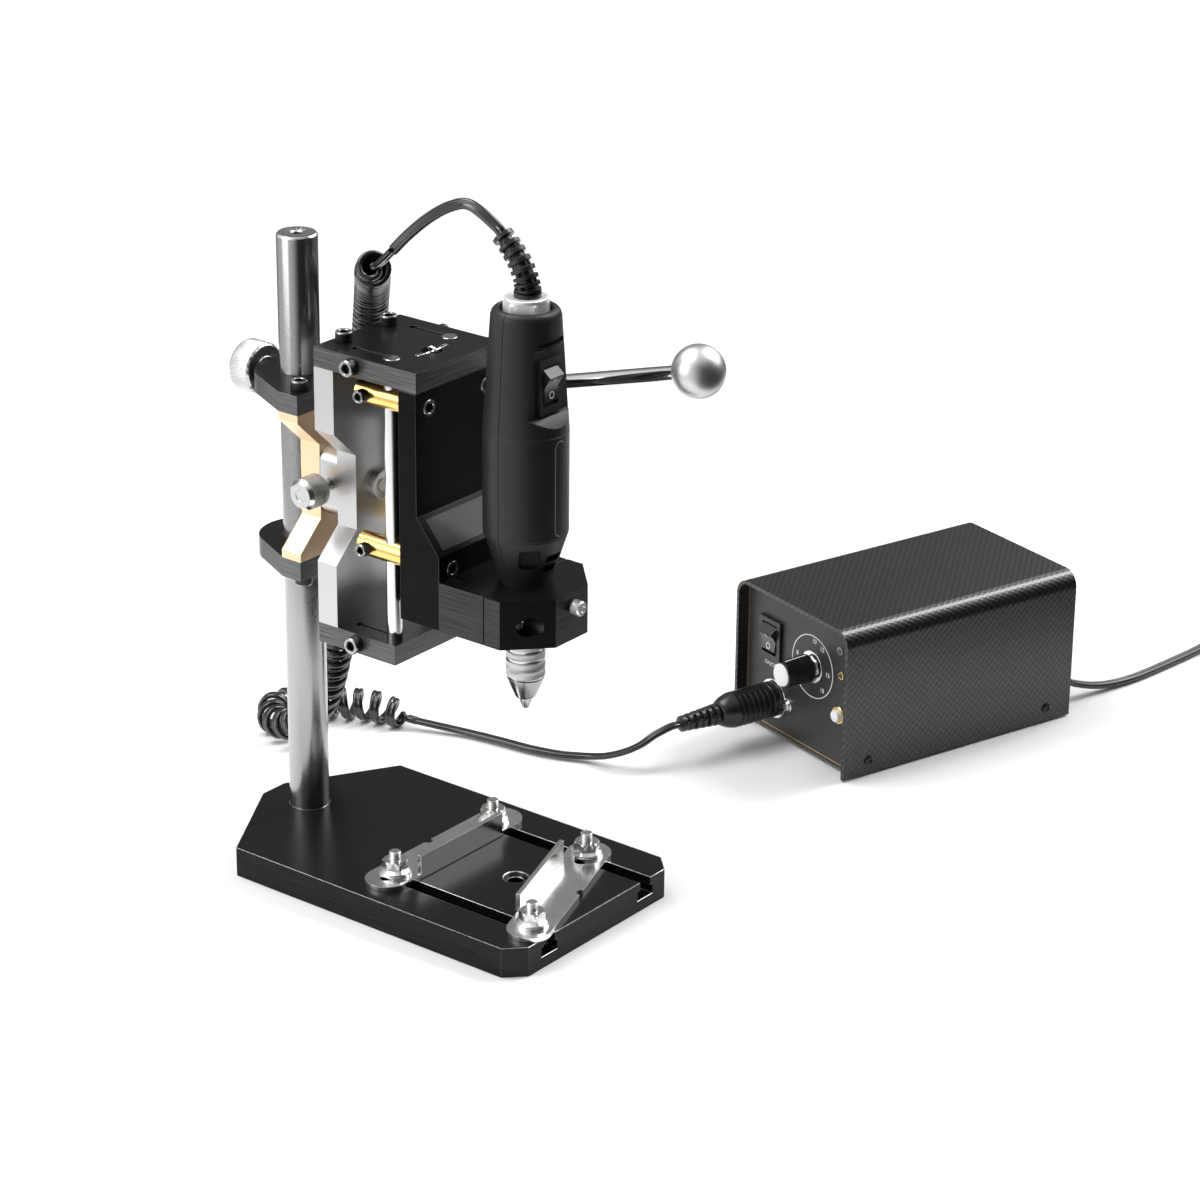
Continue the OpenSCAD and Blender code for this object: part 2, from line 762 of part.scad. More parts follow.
module head_screws() {
    color("#2c2c2e") {
        for (x = [-head_screw_x, head_screw_x]) {
            translate([x, head_screw_y, head_top + end_t]) cap_screw(m5_d, m5_head_d, m5_head_h, end_t + 12);
            translate([x, head_screw_y, head_bottom - end_t]) rotate([180, 0, 0])
                cap_screw(m5_d, m5_head_d, m5_head_h, end_t + 12);
        }
        for (s = [-1, 1]) for (z = [head_top + end_t / 2, head_bottom - end_t / 2])
            translate([s * head_w / 2, side_screw_y, z]) rotate([0, s * 90, 0])
                cap_screw(m5_d, m5_head_d, m5_head_h, 16);
        translate([0, spring_y, spring_pin_z]) rod_x(spring_pin_d, -10.5, 21);
    }
}

// Return spring: one wire that hooks over the pin above and the carriage's peg below
spring_hook_r = 2.4;
spring_peg_r = peg_d / 2 + 1;
spring_top = spring_pin_z - spring_hook_r - 3;
spring_bottom = peg_z + spring_peg_r + 3;

function spring_path() =
    let (
        r = (spring_d - spring_wire) / 2,
        coil_low = spring_bottom + 3,
        coil_high = spring_top - 3,
        steps = spring_curls * 8
    )
    concat(
        [for (a = [-250:24:-10]) [spring_peg_r * sin(a), 0, peg_z + spring_peg_r * cos(a)]],
        [[0, 0, spring_bottom - 1.4]],
        [
            for (k = [0:steps])
                let (
                    turn = k / 8,
                    grow = r * smooth_step(turn / 0.9) * smooth_step((spring_curls - turn) / 0.9)
                )
                [grow * cos(360 * turn), grow * sin(360 * turn),
                 coil_low + (coil_high - coil_low) * turn / spring_curls]
        ],
        [[0, 0, spring_top + 1.4]],
        [for (a = [-170:24:70]) [0, spring_hook_r * sin(a), spring_pin_z + spring_hook_r * cos(a)]]
    );

function spring_normals(p) = carried(tangents(p), [0, 1, 0.02]);

module return_spring() {
    p = spring_path();
    n = spring_normals(p);
    half = [spring_wire / 2];
    echo(spring_least_gap = least_gap(ring_points(p, n, half, half, 6), len(p), 6, 6, 10));
    color("#c9c9c7") translate([0, spring_y, 0]) tube(p, n, half, half, 6);
}

// Rack on the back plate; a gap stands level with the pinion
rack_low = pinion_z - feed_travel - pitch_r + 2;
rack_high = pinion_z + pitch_r;

module rack_outline() {
    pitch = PI * gear_m;
    half = pitch / 4 - gear_backlash / 4;
    pitch_line = pinion_y + pitch_r;
    tooth_root = pitch_line + 1.25 * gear_m + 0.3;
    below = floor((pinion_z - rack_low) / pitch);
    above = floor((rack_high - pinion_z) / pitch);
    translate([pitch_line + 1.25 * gear_m, rack_low])
        square([back_front - pitch_line - 1.25 * gear_m, rack_high - rack_low]);
    for (i = [-below:above - 1]) {
        z = pinion_z + (i + 0.5) * pitch;
        polygon([
            [tooth_root, z + half + 1.25 * gear_m * tan(20)],
            [pitch_line - gear_m, z + half - gear_m * tan(20)],
            [pitch_line - gear_m, z - half + gear_m * tan(20)],
            [tooth_root, z - half - 1.25 * gear_m * tan(20)]
        ]);
    }
}

module feed_rack() {
    color("#8f8f8d") along_x(pinion_x, gear_w) rack_outline();
}

// ---------------------------------------------------------------- carriage
foot_front = throat;
plate_front = carriage_rear - carriage_t;

module carriage_outline() {
    polygon([
        [foot_front, carriage_bottom], [carriage_rear, carriage_bottom], [carriage_rear, carriage_top],
        [plate_front, carriage_top], [plate_front, slope_top], [foot_front, slope_bottom]
    ]);
}

// The panel lies in a shallow pocket of the slope
panel_depth = 1.2;
panel_margin = 5;
module slope_frame(y_off) {
    run = plate_front - foot_front;
    rise = slope_top - slope_bottom;
    length = norm([run, rise]);
    translate([0, foot_front, slope_bottom]) rotate([atan2(rise, run), 0, 0])
        translate([-head_w / 2 + panel_margin, panel_margin / 2, -panel_depth])
            cube([head_w - 2 * panel_margin, length - panel_margin, y_off]);
}

module carriage_frame() {
    color("#1b1b1d") difference() {
        along_x(-head_w / 2, head_w) carriage_outline();
        slope_frame(panel_depth + 1);
        for (x = [-rod_x, rod_x]) {
            for (z = bush_z) translate([x, 0, z]) rod_y(m5_d + 2 * screw_fit, plate_front - 30, 60);
            translate([x, 0, bush_z[1]]) rod_y(m5_head_d + 0.4, plate_front - 1, 1 + m5_head_h);
            translate([x, 0, bush_z[0]]) rod_y(m5_head_d + 0.4, foot_front - 1, 1 + m5_head_h);
            translate([x, 0, clamp_screw_z]) rod_y(m5_d + 2 * screw_fit, foot_front - 1, 13);
        }
        translate([0, 0, peg_z]) rod_y(peg_d + 2 * screw_fit, carriage_rear - 8, 9);
        for (z = [pinion_z - 8.5, pinion_z + 4.5])
            translate([bearing_x + bearing_w / 2 - 1.2, 0, z])
                rod_y(m4_d - 1 + 2 * screw_fit, carriage_rear - 8, 9);
    }
}

module slope_panel() {
    color("#2a2a2c") slope_frame(panel_depth);
}

// Brass bushes: bars along Y that the rods pass through
module guide_bushes() {
    color("#c9a13b") for (x = [-rod_x, rod_x]) for (z = bush_z) difference() {
        translate([x, 0, z]) rod_y(bush_d, carriage_rear, bush_len);
        translate([x, rod_y, z - bush_d]) cylinder(d = rod_d + 2 * run_fit, h = 2 * bush_d);
        translate([x, 0, z])
            rod_y(m5_d + 2 * screw_fit, carriage_rear - 1, rod_y - rod_d / 2 - carriage_rear - 0.6);
        translate([x, bush_screw_y, z])
            rod_x(m4_d + 2 * screw_fit, x > 0 ? run_fit : -bush_d / 2 - 1, bush_d / 2 + 1 - run_fit);
    }
}
bush_screw_y = rod_y + 12.5;

module carriage_screws() {
    color("#2c2c2e") {
        for (x = [-rod_x, rod_x]) {
            reach_top = rod_y - rod_d / 2 - 2;
            translate([x, plate_front + m5_head_h, bush_z[1]]) rotate([90, 0, 0])
                cap_screw(m5_d, m5_head_d, m5_head_h, reach_top - plate_front - m5_head_h);
            translate([x, foot_front + m5_head_h, bush_z[0]]) rotate([90, 0, 0])
                cap_screw(m5_d, m5_head_d, m5_head_h, reach_top - foot_front - m5_head_h);
            for (z = bush_z)
                translate([x + sign(x) * bush_d / 2, bush_screw_y, z]) rotate([0, sign(x) * 90, 0])
                    cap_screw(m4_d, m4_head_d, m4_head_h, bush_d / 2 - 0.5);
            translate([x, clamp_screw_seat, clamp_screw_z]) rotate([90, 0, 0])
                cap_screw(m5_d, m5_head_d, m5_head_h, foot_front + 11 - clamp_screw_seat);
        }
        translate([0, 0, peg_z]) {
            rod_y(peg_d, carriage_rear - 7.5, spring_y - carriage_rear + 7.5 + 1.4);
            rod_y(peg_d + 3, spring_y + 1.2, 1);
        }
        for (z = [pinion_z - 8.5, pinion_z + 4.5])
            translate([bearing_x + bearing_w / 2 - 1.2, 0, z]) rod_y(m4_d - 1, carriage_rear - 7.5, 17);
    }
}

// Block behind the carriage that carries the pinion's shaft
module pinion_bearing() {
    rear = pinion_y + shaft_d / 2 + 4;
    color("#1b1b1d") difference() {
        translate([bearing_x, carriage_rear, pinion_z - 12])
            cube([bearing_w, rear - carriage_rear, 18.4]);
        translate([0, pinion_y, pinion_z]) rod_x(shaft_d + 2 * run_fit, bearing_x - 1, bearing_w + 2);
        for (z = [pinion_z - 8.5, pinion_z + 4.5])
            translate([bearing_x + bearing_w / 2 - 1.2, 0, z])
                rod_y(m4_d - 1 + 2 * screw_fit, carriage_rear - 1, 11);
    }
}

// Involute spur gear outline with a tooth on the +x axis
function involute(rb, t) = let (r = t * PI / 180) [rb * (cos(t) + r * sin(t)), rb * (sin(t) - r * cos(t))];
function turned(p, a) = [p.x * cos(a) - p.y * sin(a), p.x * sin(a) + p.y * cos(a)];

module gear_outline() {
    rb = pitch_r * cos(20);
    tip = pitch_r + gear_m;
    root = pitch_r - 1.25 * gear_m;
    half = 90 / pinion_teeth - gear_backlash / 4 / pitch_r * 180 / PI;
    t_pitch = sqrt(pow(pitch_r / rb, 2) - 1) * 180 / PI;
    t_tip = sqrt(pow(tip / rb, 2) - 1) * 180 / PI;
    at_pitch = involute(rb, t_pitch);
    shift = half + atan2(at_pitch.y, at_pitch.x);
    flank = [for (i = [0:3]) turned(involute(rb, t_tip * i / 3), -shift)];
    foot = [root * cos(shift), -root * sin(shift)];
    tooth = concat([foot], flank, [for (i = [3:-1:0]) [flank[i].x, -flank[i].y]], [[foot.x, -foot.y]]);
    polygon([for (k = [0:pinion_teeth - 1]) for (p = tooth) turned(p, 360 * k / pinion_teeth)]);
}

module pinion_shaft() {
    color("#9a9a98") {
        translate([0, pinion_y, pinion_z]) rod_x(shaft_d, pinion_x + gear_w - eps, hub_x - pinion_x - gear_w);
        difference() {
            along_x(pinion_x, gear_w) translate([pinion_y, pinion_z]) gear_outline();
            translate([0, pinion_y, pinion_z]) rod_x(3, pinion_x - 1, 3);
        }
        translate([0, pinion_y, pinion_z])
            rod_x(shaft_d + 3, bearing_x + bearing_w + run_fit, hub_x - bearing_x - bearing_w - run_fit);
    }
}

module lever_arm() {
    color("#dadad8") {
        translate([0, pinion_y, pinion_z]) {
            rod_x(hub_d, hub_x, hub_w);
            translate([hub_x + hub_w / 2, 0, 0]) rotate([90 - lever_rise, 0, 0])
                cylinder(d = lever_d, h = lever_len - ball_d / 2 + 1);
        }
    }
}

module ball_knob() {
    color("#bcbcba") translate([hub_x + hub_w / 2, pinion_y, pinion_z]) rotate([90 - lever_rise, 0, 0])
        difference() {
            translate([0, 0, lever_len]) sphere(d = ball_d, $fn = 96);
            translate([0, 0, lever_len - ball_d]) cylinder(d = lever_d + 0.02, h = ball_d / 2 + 1);
        }
}

// ---------------------------------------------------------------- arm and tool clamp
module arm_bore(d) {
    translate([0, 0, carriage_bottom - 1]) cylinder(d = d, h = arm_h + 2, $fn = 96);
}

module arm_block() {
    color("#1b1b1d") difference() {
        translate([-head_w / 2, arm_gap, carriage_bottom])
            cube([head_w, foot_front - arm_gap, arm_h]);
        arm_bore(nose_d + 2 * seat_gap);
        for (x = [-rod_x, rod_x])
            translate([x, 0, clamp_screw_z]) rod_y(m5_d + 2 * screw_fit, -1, foot_front + 2);
        for (x = [-rod_x, rod_x]) translate([x, 0, bush_z[0]]) rod_y(m5_head_d + 0.4, foot_front - 9, 10);
    }
}

clamp_screw_seat = -8;
module clamp_front() {
    color("#1b1b1d") difference() {
        translate([0, 0, carriage_bottom]) linear_extrude(arm_h) polygon([
            [-head_w / 2, -arm_gap], [-head_w / 2, clamp_corner_y], [-clamp_nose_x, -clamp_face],
            [clamp_nose_x, -clamp_face], [head_w / 2, clamp_corner_y], [head_w / 2, -arm_gap]
        ]);
        arm_bore(nose_d + 2 * seat_gap);
        for (x = [-rod_x, rod_x]) translate([x, 0, clamp_screw_z]) {
            rod_y(m5_d + 2 * screw_fit, clamp_screw_seat - 1, 12);
            rod_y(m5_head_d + 1, -clamp_face - 1, clamp_face + 1 + clamp_screw_seat);
        }
        translate([0, 0, arm_thumb_z]) rod_y(m4_d + 2 * run_fit, -clamp_face - 1, clamp_face);
    }
}

module tool_thumbscrew() {
    color("#cfcfcd") translate([0, 0, arm_thumb_z]) {
        rod_y(m4_d, -clamp_face - 1, clamp_face + 1 - nose_d / 2 - 0.3);
        translate([0, -clamp_face - 1, 0]) rotate([90, 0, 0]) knurled(7.5, 5.3, 16);
    }
}

// ---------------------------------------------------------------- tool
function shell_profile(d) = [
    [nose_d / 2 - d, nose_bottom], [nose_d / 2 - d, arm_top + 0.6], [barrel_d / 2 - d, cone_top],
    [barrel_d / 2 - d, barrel_top], [top_d / 2 - d, tool_top]
];

// The shell's outer outline, with a rounded upper rim
rim_r = 3.2;
function shell_outline() = concat(
    [[0, nose_bottom]], [for (i = [0:3]) shell_profile(0)[i]],
    [for (a = [0:30:90]) [top_d / 2 - rim_r + rim_r * cos(a), tool_top - rim_r + rim_r * sin(a)]],
    [[0, tool_top]]
);

motor_r = 14.5;
bearing_r = nose_d / 2 - shell_t - screw_fit;
bearing_z = nose_bottom + 3;
bearing_h = 6;

module shell_solid() {
    inner = shell_profile(shell_t);
    difference() {
        rotate_extrude($fn = 96) polygon(shell_outline());
        rotate_extrude($fn = 96) polygon(concat(
            [[0, nose_bottom + shell_t]],
            [[inner[0].x, nose_bottom + shell_t], [inner[1].x, inner[1].y + 1], [inner[2].x, cone_top + 1],
             [inner[3].x, barrel_top], [top_d / 2 - shell_t + 1.6, nut_z - shell_t],
             [0, nut_z - shell_t]]
        ));
        translate([0, 0, nose_bottom - 1]) cylinder(d = spindle_d + 1, h = shell_t + 2);
        translate([0, 0, nut_z]) cylinder(d = 2 * nut_flats_r + 3, h = cup_h + 1);
        translate([0, 0, nut_z - shell_t - 1]) cylinder(d = m6_d + 4, h = shell_t + 2);
    }
}

module tool_shell_rear() {
    color("#26272a") difference() {
        shell_solid();
        translate([-50, -100, 0]) cube([100, 100, 400]);
        for (a = [28, 52]) for (i = [0:2])
            rotate(a) translate([0, -1, arm_top + 10 + 4.5 * i]) cube([60, 2, 2.2]);
    }
}

// The switch stands on a flat cut across the shell, with a ramp below it and a floor behind it
recess_w = barrel_d;
recess_low = switch_z - switch_h / 2 - 1;
recess_top = switch_z + switch_h / 2 + 5;
recess_ramp = 0.9;   // the ramp's fall for each millimetre outwards
recess_wall = 1.8;
module recess_outline() {
    out = -barrel_d;
    polygon([
        [out, recess_low + recess_ramp * (out - switch_y)], [switch_y, recess_low],
        [switch_y, recess_top], [out, recess_top]
    ]);
}
module tool_shell_front() {
    color("#26272a") difference() {
        union() {
            shell_solid();
            intersection() {
                rotate_extrude($fn = 96) polygon(shell_outline());
                translate([-recess_w / 2, -barrel_d, barrel_top - recess_wall]) cube([
                    recess_w, barrel_d + switch_y + recess_wall, recess_top + 2 * recess_wall - barrel_top
                ]);
            }
        }
        translate([-50, 0, 0]) cube([100, 100, 400]);
        along_x(-recess_w / 2, recess_w) recess_outline();
        translate([-(switch_w - 2) / 2, switch_y - 1, switch_z - (switch_h - 2) / 2])
            cube([switch_w - 2, 12, switch_h - 2]);
    }
}

// The motor's two side mounts reach the shells' inner wall
mount_w = 6;
mount_reach = sqrt(pow(barrel_d / 2 - shell_t, 2) - pow(mount_w / 2, 2)) - run_fit;
module tool_motor() {
    color("#77777a") {
        difference() {
            translate([0, 0, cone_top + 4]) cylinder(r = motor_r, h = barrel_h - 8);
            translate([0, 0, cone_top + 3]) cylinder(d = spindle_d + 2 * run_fit, h = 8);
        }
        difference() {
            translate([0, 0, bearing_z]) cylinder(r = bearing_r, h = bearing_h);
            translate([0, 0, bearing_z - 1]) cylinder(d = spindle_d + 2 * run_fit, h = bearing_h + 2);
        }
        for (s = [-1, 1])
            translate([s * (motor_r + mount_reach - 0.5) / 2, 0, cone_top + barrel_h / 2])
                cube([mount_reach - motor_r + 0.5, mount_w, 12], center = true);
    }
}

// Rocker switch: a frame with a side opening, and a rocker that tips about X inside it
frame_lip = 1.6;
rocker_slot_w = 10.6;
rocker_slot_h = 19;
module switch_frame(w, h, lip, slot_w_, slot_h_, depth) {
    difference() {
        union() {
            translate([-w / 2, -lip, -h / 2]) cube([w, lip, h]);
            translate([-w / 2 + 1.2, -eps, -h / 2 + 1.2]) cube([w - 2.4, depth, h - 2.4]);
        }
        translate([-slot_w_ / 2, -lip - 1, -slot_h_ / 2]) cube([slot_w_, depth - 1 + lip, slot_h_]);
        rod_x(2 + 2 * run_fit, -slot_w_ / 2 - 1, slot_w_ + 2);
    }
}

// The rocker's outline in (y, z) about its pin: two faces that meet in a valley, and sloping ends
ridge_in = 2.4;
ridge_rise = 1.9;
module rocker_body(w, h, proud, depth) {
    along_x(-w / 2, w) polygon([
        [1.2, h / 2], [-proud - ridge_rise, h / 2 - ridge_in], [-proud, 0],
        [-proud - ridge_rise, -h / 2 + ridge_in], [1.2, -h / 2],
        [depth * 0.4, -h / 2 + 1.1], [depth, -2], [depth, 2], [depth * 0.4, h / 2 - 1.1]
    ]);
    rod_x(2, -w / 2 - 0.8, w + 1.6);
}

module tool_switch_frame() {
    color("#141415") translate([0, switch_y, switch_z])
        switch_frame(switch_w, switch_h, frame_lip, rocker_slot_w, rocker_slot_h, 8);
}

rocker_tip = 14;
module tool_rocker() {
    color("#101011") translate([0, switch_y, switch_z]) rotate([rocker_tip, 0, 0])
        rocker_body(rocker_slot_w - 0.6, rocker_slot_h - 1.4, 2, 5);
}

module cable_nut() {
    color("#e2e2df") translate([0, 0, nut_z]) difference() {
        union() {
            cylinder(r = nut_flats_r, h = nut_h, $fn = 6);
            translate([0, 0, nut_h - eps]) cylinder(d = 20.3, h = 1.5 + eps);
            translate([0, 0, -shell_t - 2]) cylinder(d = m6_d + 3.6, h = shell_t + 3);
        }
        translate([0, 0, -shell_t - 3]) cylinder(d = 5.4, h = 30);
    }
}

// Strain relief: ribs on a tapered core along a bent path
relief_d0 = 13;
relief_d1 = 10.5;
relief_ribs = 8;
module strain_relief() {
    p = [for (q = smooth_path(relief_path, 8)) q + [0, 0, relief_z]];
    count = len(p);
    t = tangents(p);
    n = [for (v = t) [1, 0, 0]];
    size = [
        for (i = [0:count - 1])
            let (
                taper = (relief_d0 + (relief_d1 - relief_d0) * i / (count - 1)) / 2,
                groove = i > 2 && i < count - 3 && (i - 3) % 5 > 2
            )
            groove ? taper - 1.6 : taper
    ];
    color("#141415") tube(p, n, size, size, 16);
}

// ---------------------------------------------------------------- spindle and chuck
sleeve_top = nose_bottom - chuck_gap;
sleeve_bottom = sleeve_top - sleeve_h;
collar_d = 12;

module spindle() {
    color("#b5b5b3") {
        translate([0, 0, sleeve_top - 1]) cylinder(d = spindle_d, h = cone_top + 9 - sleeve_top);
        rotate_extrude() polygon([
            [0, sleeve_bottom - chuck_cone_h - jaw_h], [1.5, sleeve_bottom - chuck_cone_h - jaw_h],
            [3.25, sleeve_bottom - chuck_cone_h], [5.25, sleeve_bottom - chuck_cone_h],
            [sleeve_d / 2 - 0.4, sleeve_bottom - seat_gap], [collar_d / 2, sleeve_bottom - seat_gap],
            [collar_d / 2, sleeve_top], [0, sleeve_top]
        ]);
    }
}

module chuck_sleeve() {
    grooves = [0.48, 0.72];
    color("#c7c7c5") difference() {
        translate([0, 0, sleeve_bottom]) knurled(sleeve_d, sleeve_h, 32);
        for (g = grooves) translate([0, 0, sleeve_bottom + g * sleeve_h]) difference() {
            cylinder(d = sleeve_d + 2, h = 1.2);
            translate([0, 0, -1]) cylinder(d = sleeve_d - 2.4, h = 4);
        }
        translate([0, 0, sleeve_bottom - 1]) cylinder(d = collar_d + 2 * run_fit, h = sleeve_h + 2);
    }
}

// ---------------------------------------------------------------- curly cord
relief_end = relief_path[len(relief_path) - 1] + [0, 0, relief_z];
relief_way = unit(relief_end - relief_path[len(relief_path) - 2] - [0, 0, relief_z]);

function arc_path() = smooth_path(
    concat(
        [relief_end, relief_end + relief_way * 5], arc_points,
        [coil_points[0] + cord_gap * unit(arc_points[len(arc_points) - 1] - coil_points[0])]
    ), 4
);

module tool_cord_arc() {
    p = arc_path();
    color("#111112") tube(p, [for (q = p) [1, 0, 0.1]], [curly_w / 2], [curly_t / 2], 8);
}

curls = open_curls + tight_curls + hung_curls + floor_curls;
function coil_centre_path() = smooth_path(coil_points, 6);

// Where along the centre path each group of curls ends
function coil_turns() =
    let (whole = path_length(coil_centre_path()))
    [
        [0, coil_lead], [open_curls, coil_lead + 15.8], [open_curls + tight_curls, coil_lead + 81.8],
        [open_curls + tight_curls + hung_curls, coil_lead + 280.8], [curls, whole - curly_w]
    ];

module curly_cord_coil() {
    w = winding(coil_centre_path(), coil_turns(), curls, (curl_d - curly_t) / 2, [0, 0, 1], 8, 0.9);
    p = [for (q = w) q[0]];
    n = [for (q = w) q[1]];
    a = [curly_t / 2];
    b = [curly_w / 2];
    echo(curl_least_gap = least_gap(ring_points(p, n, a, b, 6), len(p), 6, 6, 11));
    echo(curly_coil_length = path_length(p));
    color("#111112") tube(p, n, a, b, 6);
}

function plug_tail() = box_point([plug_tail_u, plug_w, plug_z]);
function box_point(p) = box_place + [
    p[0] * cos(box_yaw) - p[1] * sin(box_yaw), p[0] * sin(box_yaw) + p[1] * cos(box_yaw), p[2]
];
plug_tail_u = -57;

module curly_cord_run() {
    p = smooth_path(concat(
        [coil_points[len(coil_points) - 1]], run_points,
        [box_point([plug_tail_u - 6, plug_w, plug_z]), plug_tail()]
    ), 3);
    echo(curly_run_length = path_length(p));
    color("#111112") tube(p, [for (q = p) [0, 0, 1]], [curly_t / 2], [curly_w / 2], 8);
}

// ---------------------------------------------------------------- controller
module in_box() {
    translate(box_place) rotate(box_yaw) children();
}

module box_outline(inset, r) {
    h = box_top - box_bottom;
    translate([box_w / 2, box_bottom + h / 2]) {
        square([box_w - 2 * inset - 2 * r, h - 2 * inset], center = true);
        translate([0, -r / 2]) square([box_w - 2 * inset, h - 2 * inset - r], center = true);
        for (s = [-1, 1]) translate([s * (box_w / 2 - inset - r), h / 2 - inset - r]) circle(r);
    }
}

module ctrl_cover() {
    color("#202022") in_box() difference() {
        along_x(0, box_l) box_outline(0, box_r);
        along_x(-1, box_l + 2) {
            box_outline(box_t, box_r - box_t);
            translate([box_t, -1]) square([box_w - 2 * box_t, 20]);
        }
        for (u = cover_screw_u) translate([u, 0, cover_screw_z]) rod_y(3 + 2 * screw_fit, -1, box_w + 2);
    }
}
cover_screw_u = [17.3, box_l - 16.4];
cover_screw_z = 8.5;
inner_gap = 0.05;

module ctrl_chassis() {
    w0 = box_t + inner_gap;
    w1 = box_w - box_t - inner_gap;
    color("#2a2a2c") in_box() difference() {
        union() {
            translate([panel_u + panel_t, w0, foot_h])
                cube([rear_u - panel_u - panel_t + 2, w1 - w0, floor_t]);
            for (w = [w0, w1 - 2]) translate([panel_u + panel_t, w, foot_h])
                cube([rear_u - panel_u - panel_t, 2, 12]);
            translate([rear_u, w0, foot_h]) cube([2, w1 - w0, box_top - box_t - 6 - foot_h]);
        }
        for (u = cover_screw_u) translate([u, 0, cover_screw_z]) rod_y(3 + 2 * screw_fit, -1, box_w + 2);
        translate([0, gland_w, gland_z]) rod_x(gland_d + 2 * screw_fit, rear_u - 1, 4);
    }
}
gland_d = 9;

module ctrl_front_panel() {
    color("#18181a") in_box() difference() {
        along_x(panel_u, panel_t) intersection() {
            box_outline(box_t + inner_gap, box_r - box_t);
            translate([0, foot_h]) square([box_w, box_top]);
        }
        translate([0, rocker_w, rocker_z]) along_x(panel_u - 1, panel_t + 2)
            square([rocker_frame_w - 2.2, rocker_frame_h - 2.2], center = true);
        translate([0, knob_w, knob_z]) rod_x(7 + 2 * screw_fit, panel_u - 1, panel_t + 2);
        translate([0, button_w, button_z]) rod_x(button_d + 2 * run_fit, panel_u - 1, panel_t + 2);
        translate([0, plug_w, plug_z]) rod_x(15 + 2 * screw_fit, panel_u - 1, panel_t + 2);
        for (s = [-1, 1]) translate([0, plug_w + s * socket_screw_w, plug_z])
            rod_x(3 + 2 * screw_fit, panel_u - 1, panel_t + 2);
    }
}
socket_screw_w = 12.5;

module ctrl_feet() {
    color("#161616") in_box() for (u = [18, box_l - 18]) for (w = [14, box_w - 14])
        translate([u, w, 0]) cylinder(d1 = 11, d2 = 12, h = foot_h);
}

module ctrl_cover_screws() {
    color("#2c2c2e") in_box() for (u = cover_screw_u) {
        translate([u, 0, cover_screw_z]) {
            rod_y(3, -eps, 6);
            rod_y(6, -1.4, 1.4);
        }
        translate([u, box_w, cover_screw_z]) {
            rod_y(3, -6, 6 + eps);
            rod_y(6, 0, 1.4);
        }
    }
}

// Inside: a board on four posts with its capacitors, a transformer, and the speed control
post_h = 4;
post_d = 6;
post_in = 4;
board_z = foot_h + floor_t + post_h;
board_t = 1.6;
board_u = 28;
board_edge = 10;
board_l = box_l - 93.5;
board_w = box_w - 2 * board_edge;
cap_d = 12;
cap_h = 22;
trafo_l = 44;
trafo_u = box_l - 57.5;
trafo_edge = 20;
trafo_h = box_top - 38;
module ctrl_internals() {
    color("#3c6b45") in_box() {
        translate([board_u, board_edge, board_z]) cube([board_l, board_w, board_t]);
        for (u = [board_u + post_in, board_u + board_l - post_in])
            for (w = [board_edge + post_in, board_edge + board_w - post_in])
                translate([u, w, foot_h + floor_t]) cylinder(d = post_d, h = post_h + eps);
        translate([trafo_u, trafo_edge, foot_h + floor_t]) cube([trafo_l, box_w - 2 * trafo_edge, trafo_h]);
        for (share = [0.2, 0.44, 0.68])
            translate([board_u + share * board_l, box_w / 2, board_z + board_t - eps])
                cylinder(d = cap_d, h = cap_h);
        difference() {
            translate([0, knob_w, knob_z]) rod_x(17, panel_u + panel_t, 9);
            translate([0, knob_w, knob_z]) rod_x(6 + 2 * run_fit, panel_u, 8);
        }
    }
}

module ctrl_switch_frame() {
    color("#141415") in_box() translate([panel_u, rocker_w, rocker_z]) rotate([0, 0, -90])
        switch_frame(rocker_frame_w, rocker_frame_h, 2, 12.4, 17.4, 12);
}

module ctrl_rocker() {
    color("#101011") in_box() translate([panel_u, rocker_w, rocker_z]) rotate([0, 0, -90])
        rotate([rocker_tip, 0, 0]) rocker_body(11.8, 16, 2.4, 6);
}

// Rings, lamps and the control's nut on the panel
module ctrl_panel_fittings() {
    color("#d9d9d6") in_box() {
        translate([0, knob_w, knob_z]) difference() {
            union() {
                rod_x(7, panel_u - 2, 4);
                rod_x(speed_knob_d + 2, panel_u - 0.8, 0.8);
                translate([panel_u - 2.8, 0, 0]) rotate([0, 90, 0]) cylinder(r = 6.2, h = 2.1, $fn = 6);
            }
            rod_x(6 + 2 * run_fit, panel_u - 4, 8);
        }
        translate([0, button_w, button_z]) difference() {
            rod_x(10, panel_u - 1, 1);
            rod_x(button_d + 2 * run_fit, panel_u - 2, 4);
        }
        for (p = [[13.3, 68.9], [11.8, 55.5]]) translate([0, p[0], p[1]]) rod_x(3.4, panel_u - 1.2, 1.2);
    }
}

module speed_knob() {
    color("#151515") in_box() translate([0, knob_w, knob_z]) {
        translate([knob_cap_u, 0, 0]) rotate([0, 90, 0])
            cylinder(d1 = speed_knob_d - 1.8, d2 = speed_knob_d, h = panel_u - 3.2 - knob_cap_u);
        rod_x(6, panel_u - 3.3, 9.3);
    }
}

module mode_button() {
    color("#eeeeea") in_box() translate([0, button_w, button_z]) {
        rod_x(button_d, panel_u - 3.4, 6.4);
        rod_x(button_d + 2, panel_u + panel_t + run_fit, 1);
    }
}

// Round socket on an oval flange with two screws
module din_socket() {
    color("#c8c8c6") in_box() translate([0, plug_w, plug_z]) difference() {
        union() {
            along_x(panel_u - 1.5, 1.5) {
                circle(d = 22);
                slot_outline(2 * socket_screw_w + 7, 7);
            }
            rod_x(15, panel_u - 1.5, 12);
            for (s = [-1, 1]) translate([0, s * socket_screw_w, 0]) {
                rod_x(3, panel_u - 1, 7);
                rod_x(5.2, panel_u - 3, 1.5 + eps);
            }
        }
        rod_x(13 + 2 * screw_fit, panel_u - 2, 9);
    }
}

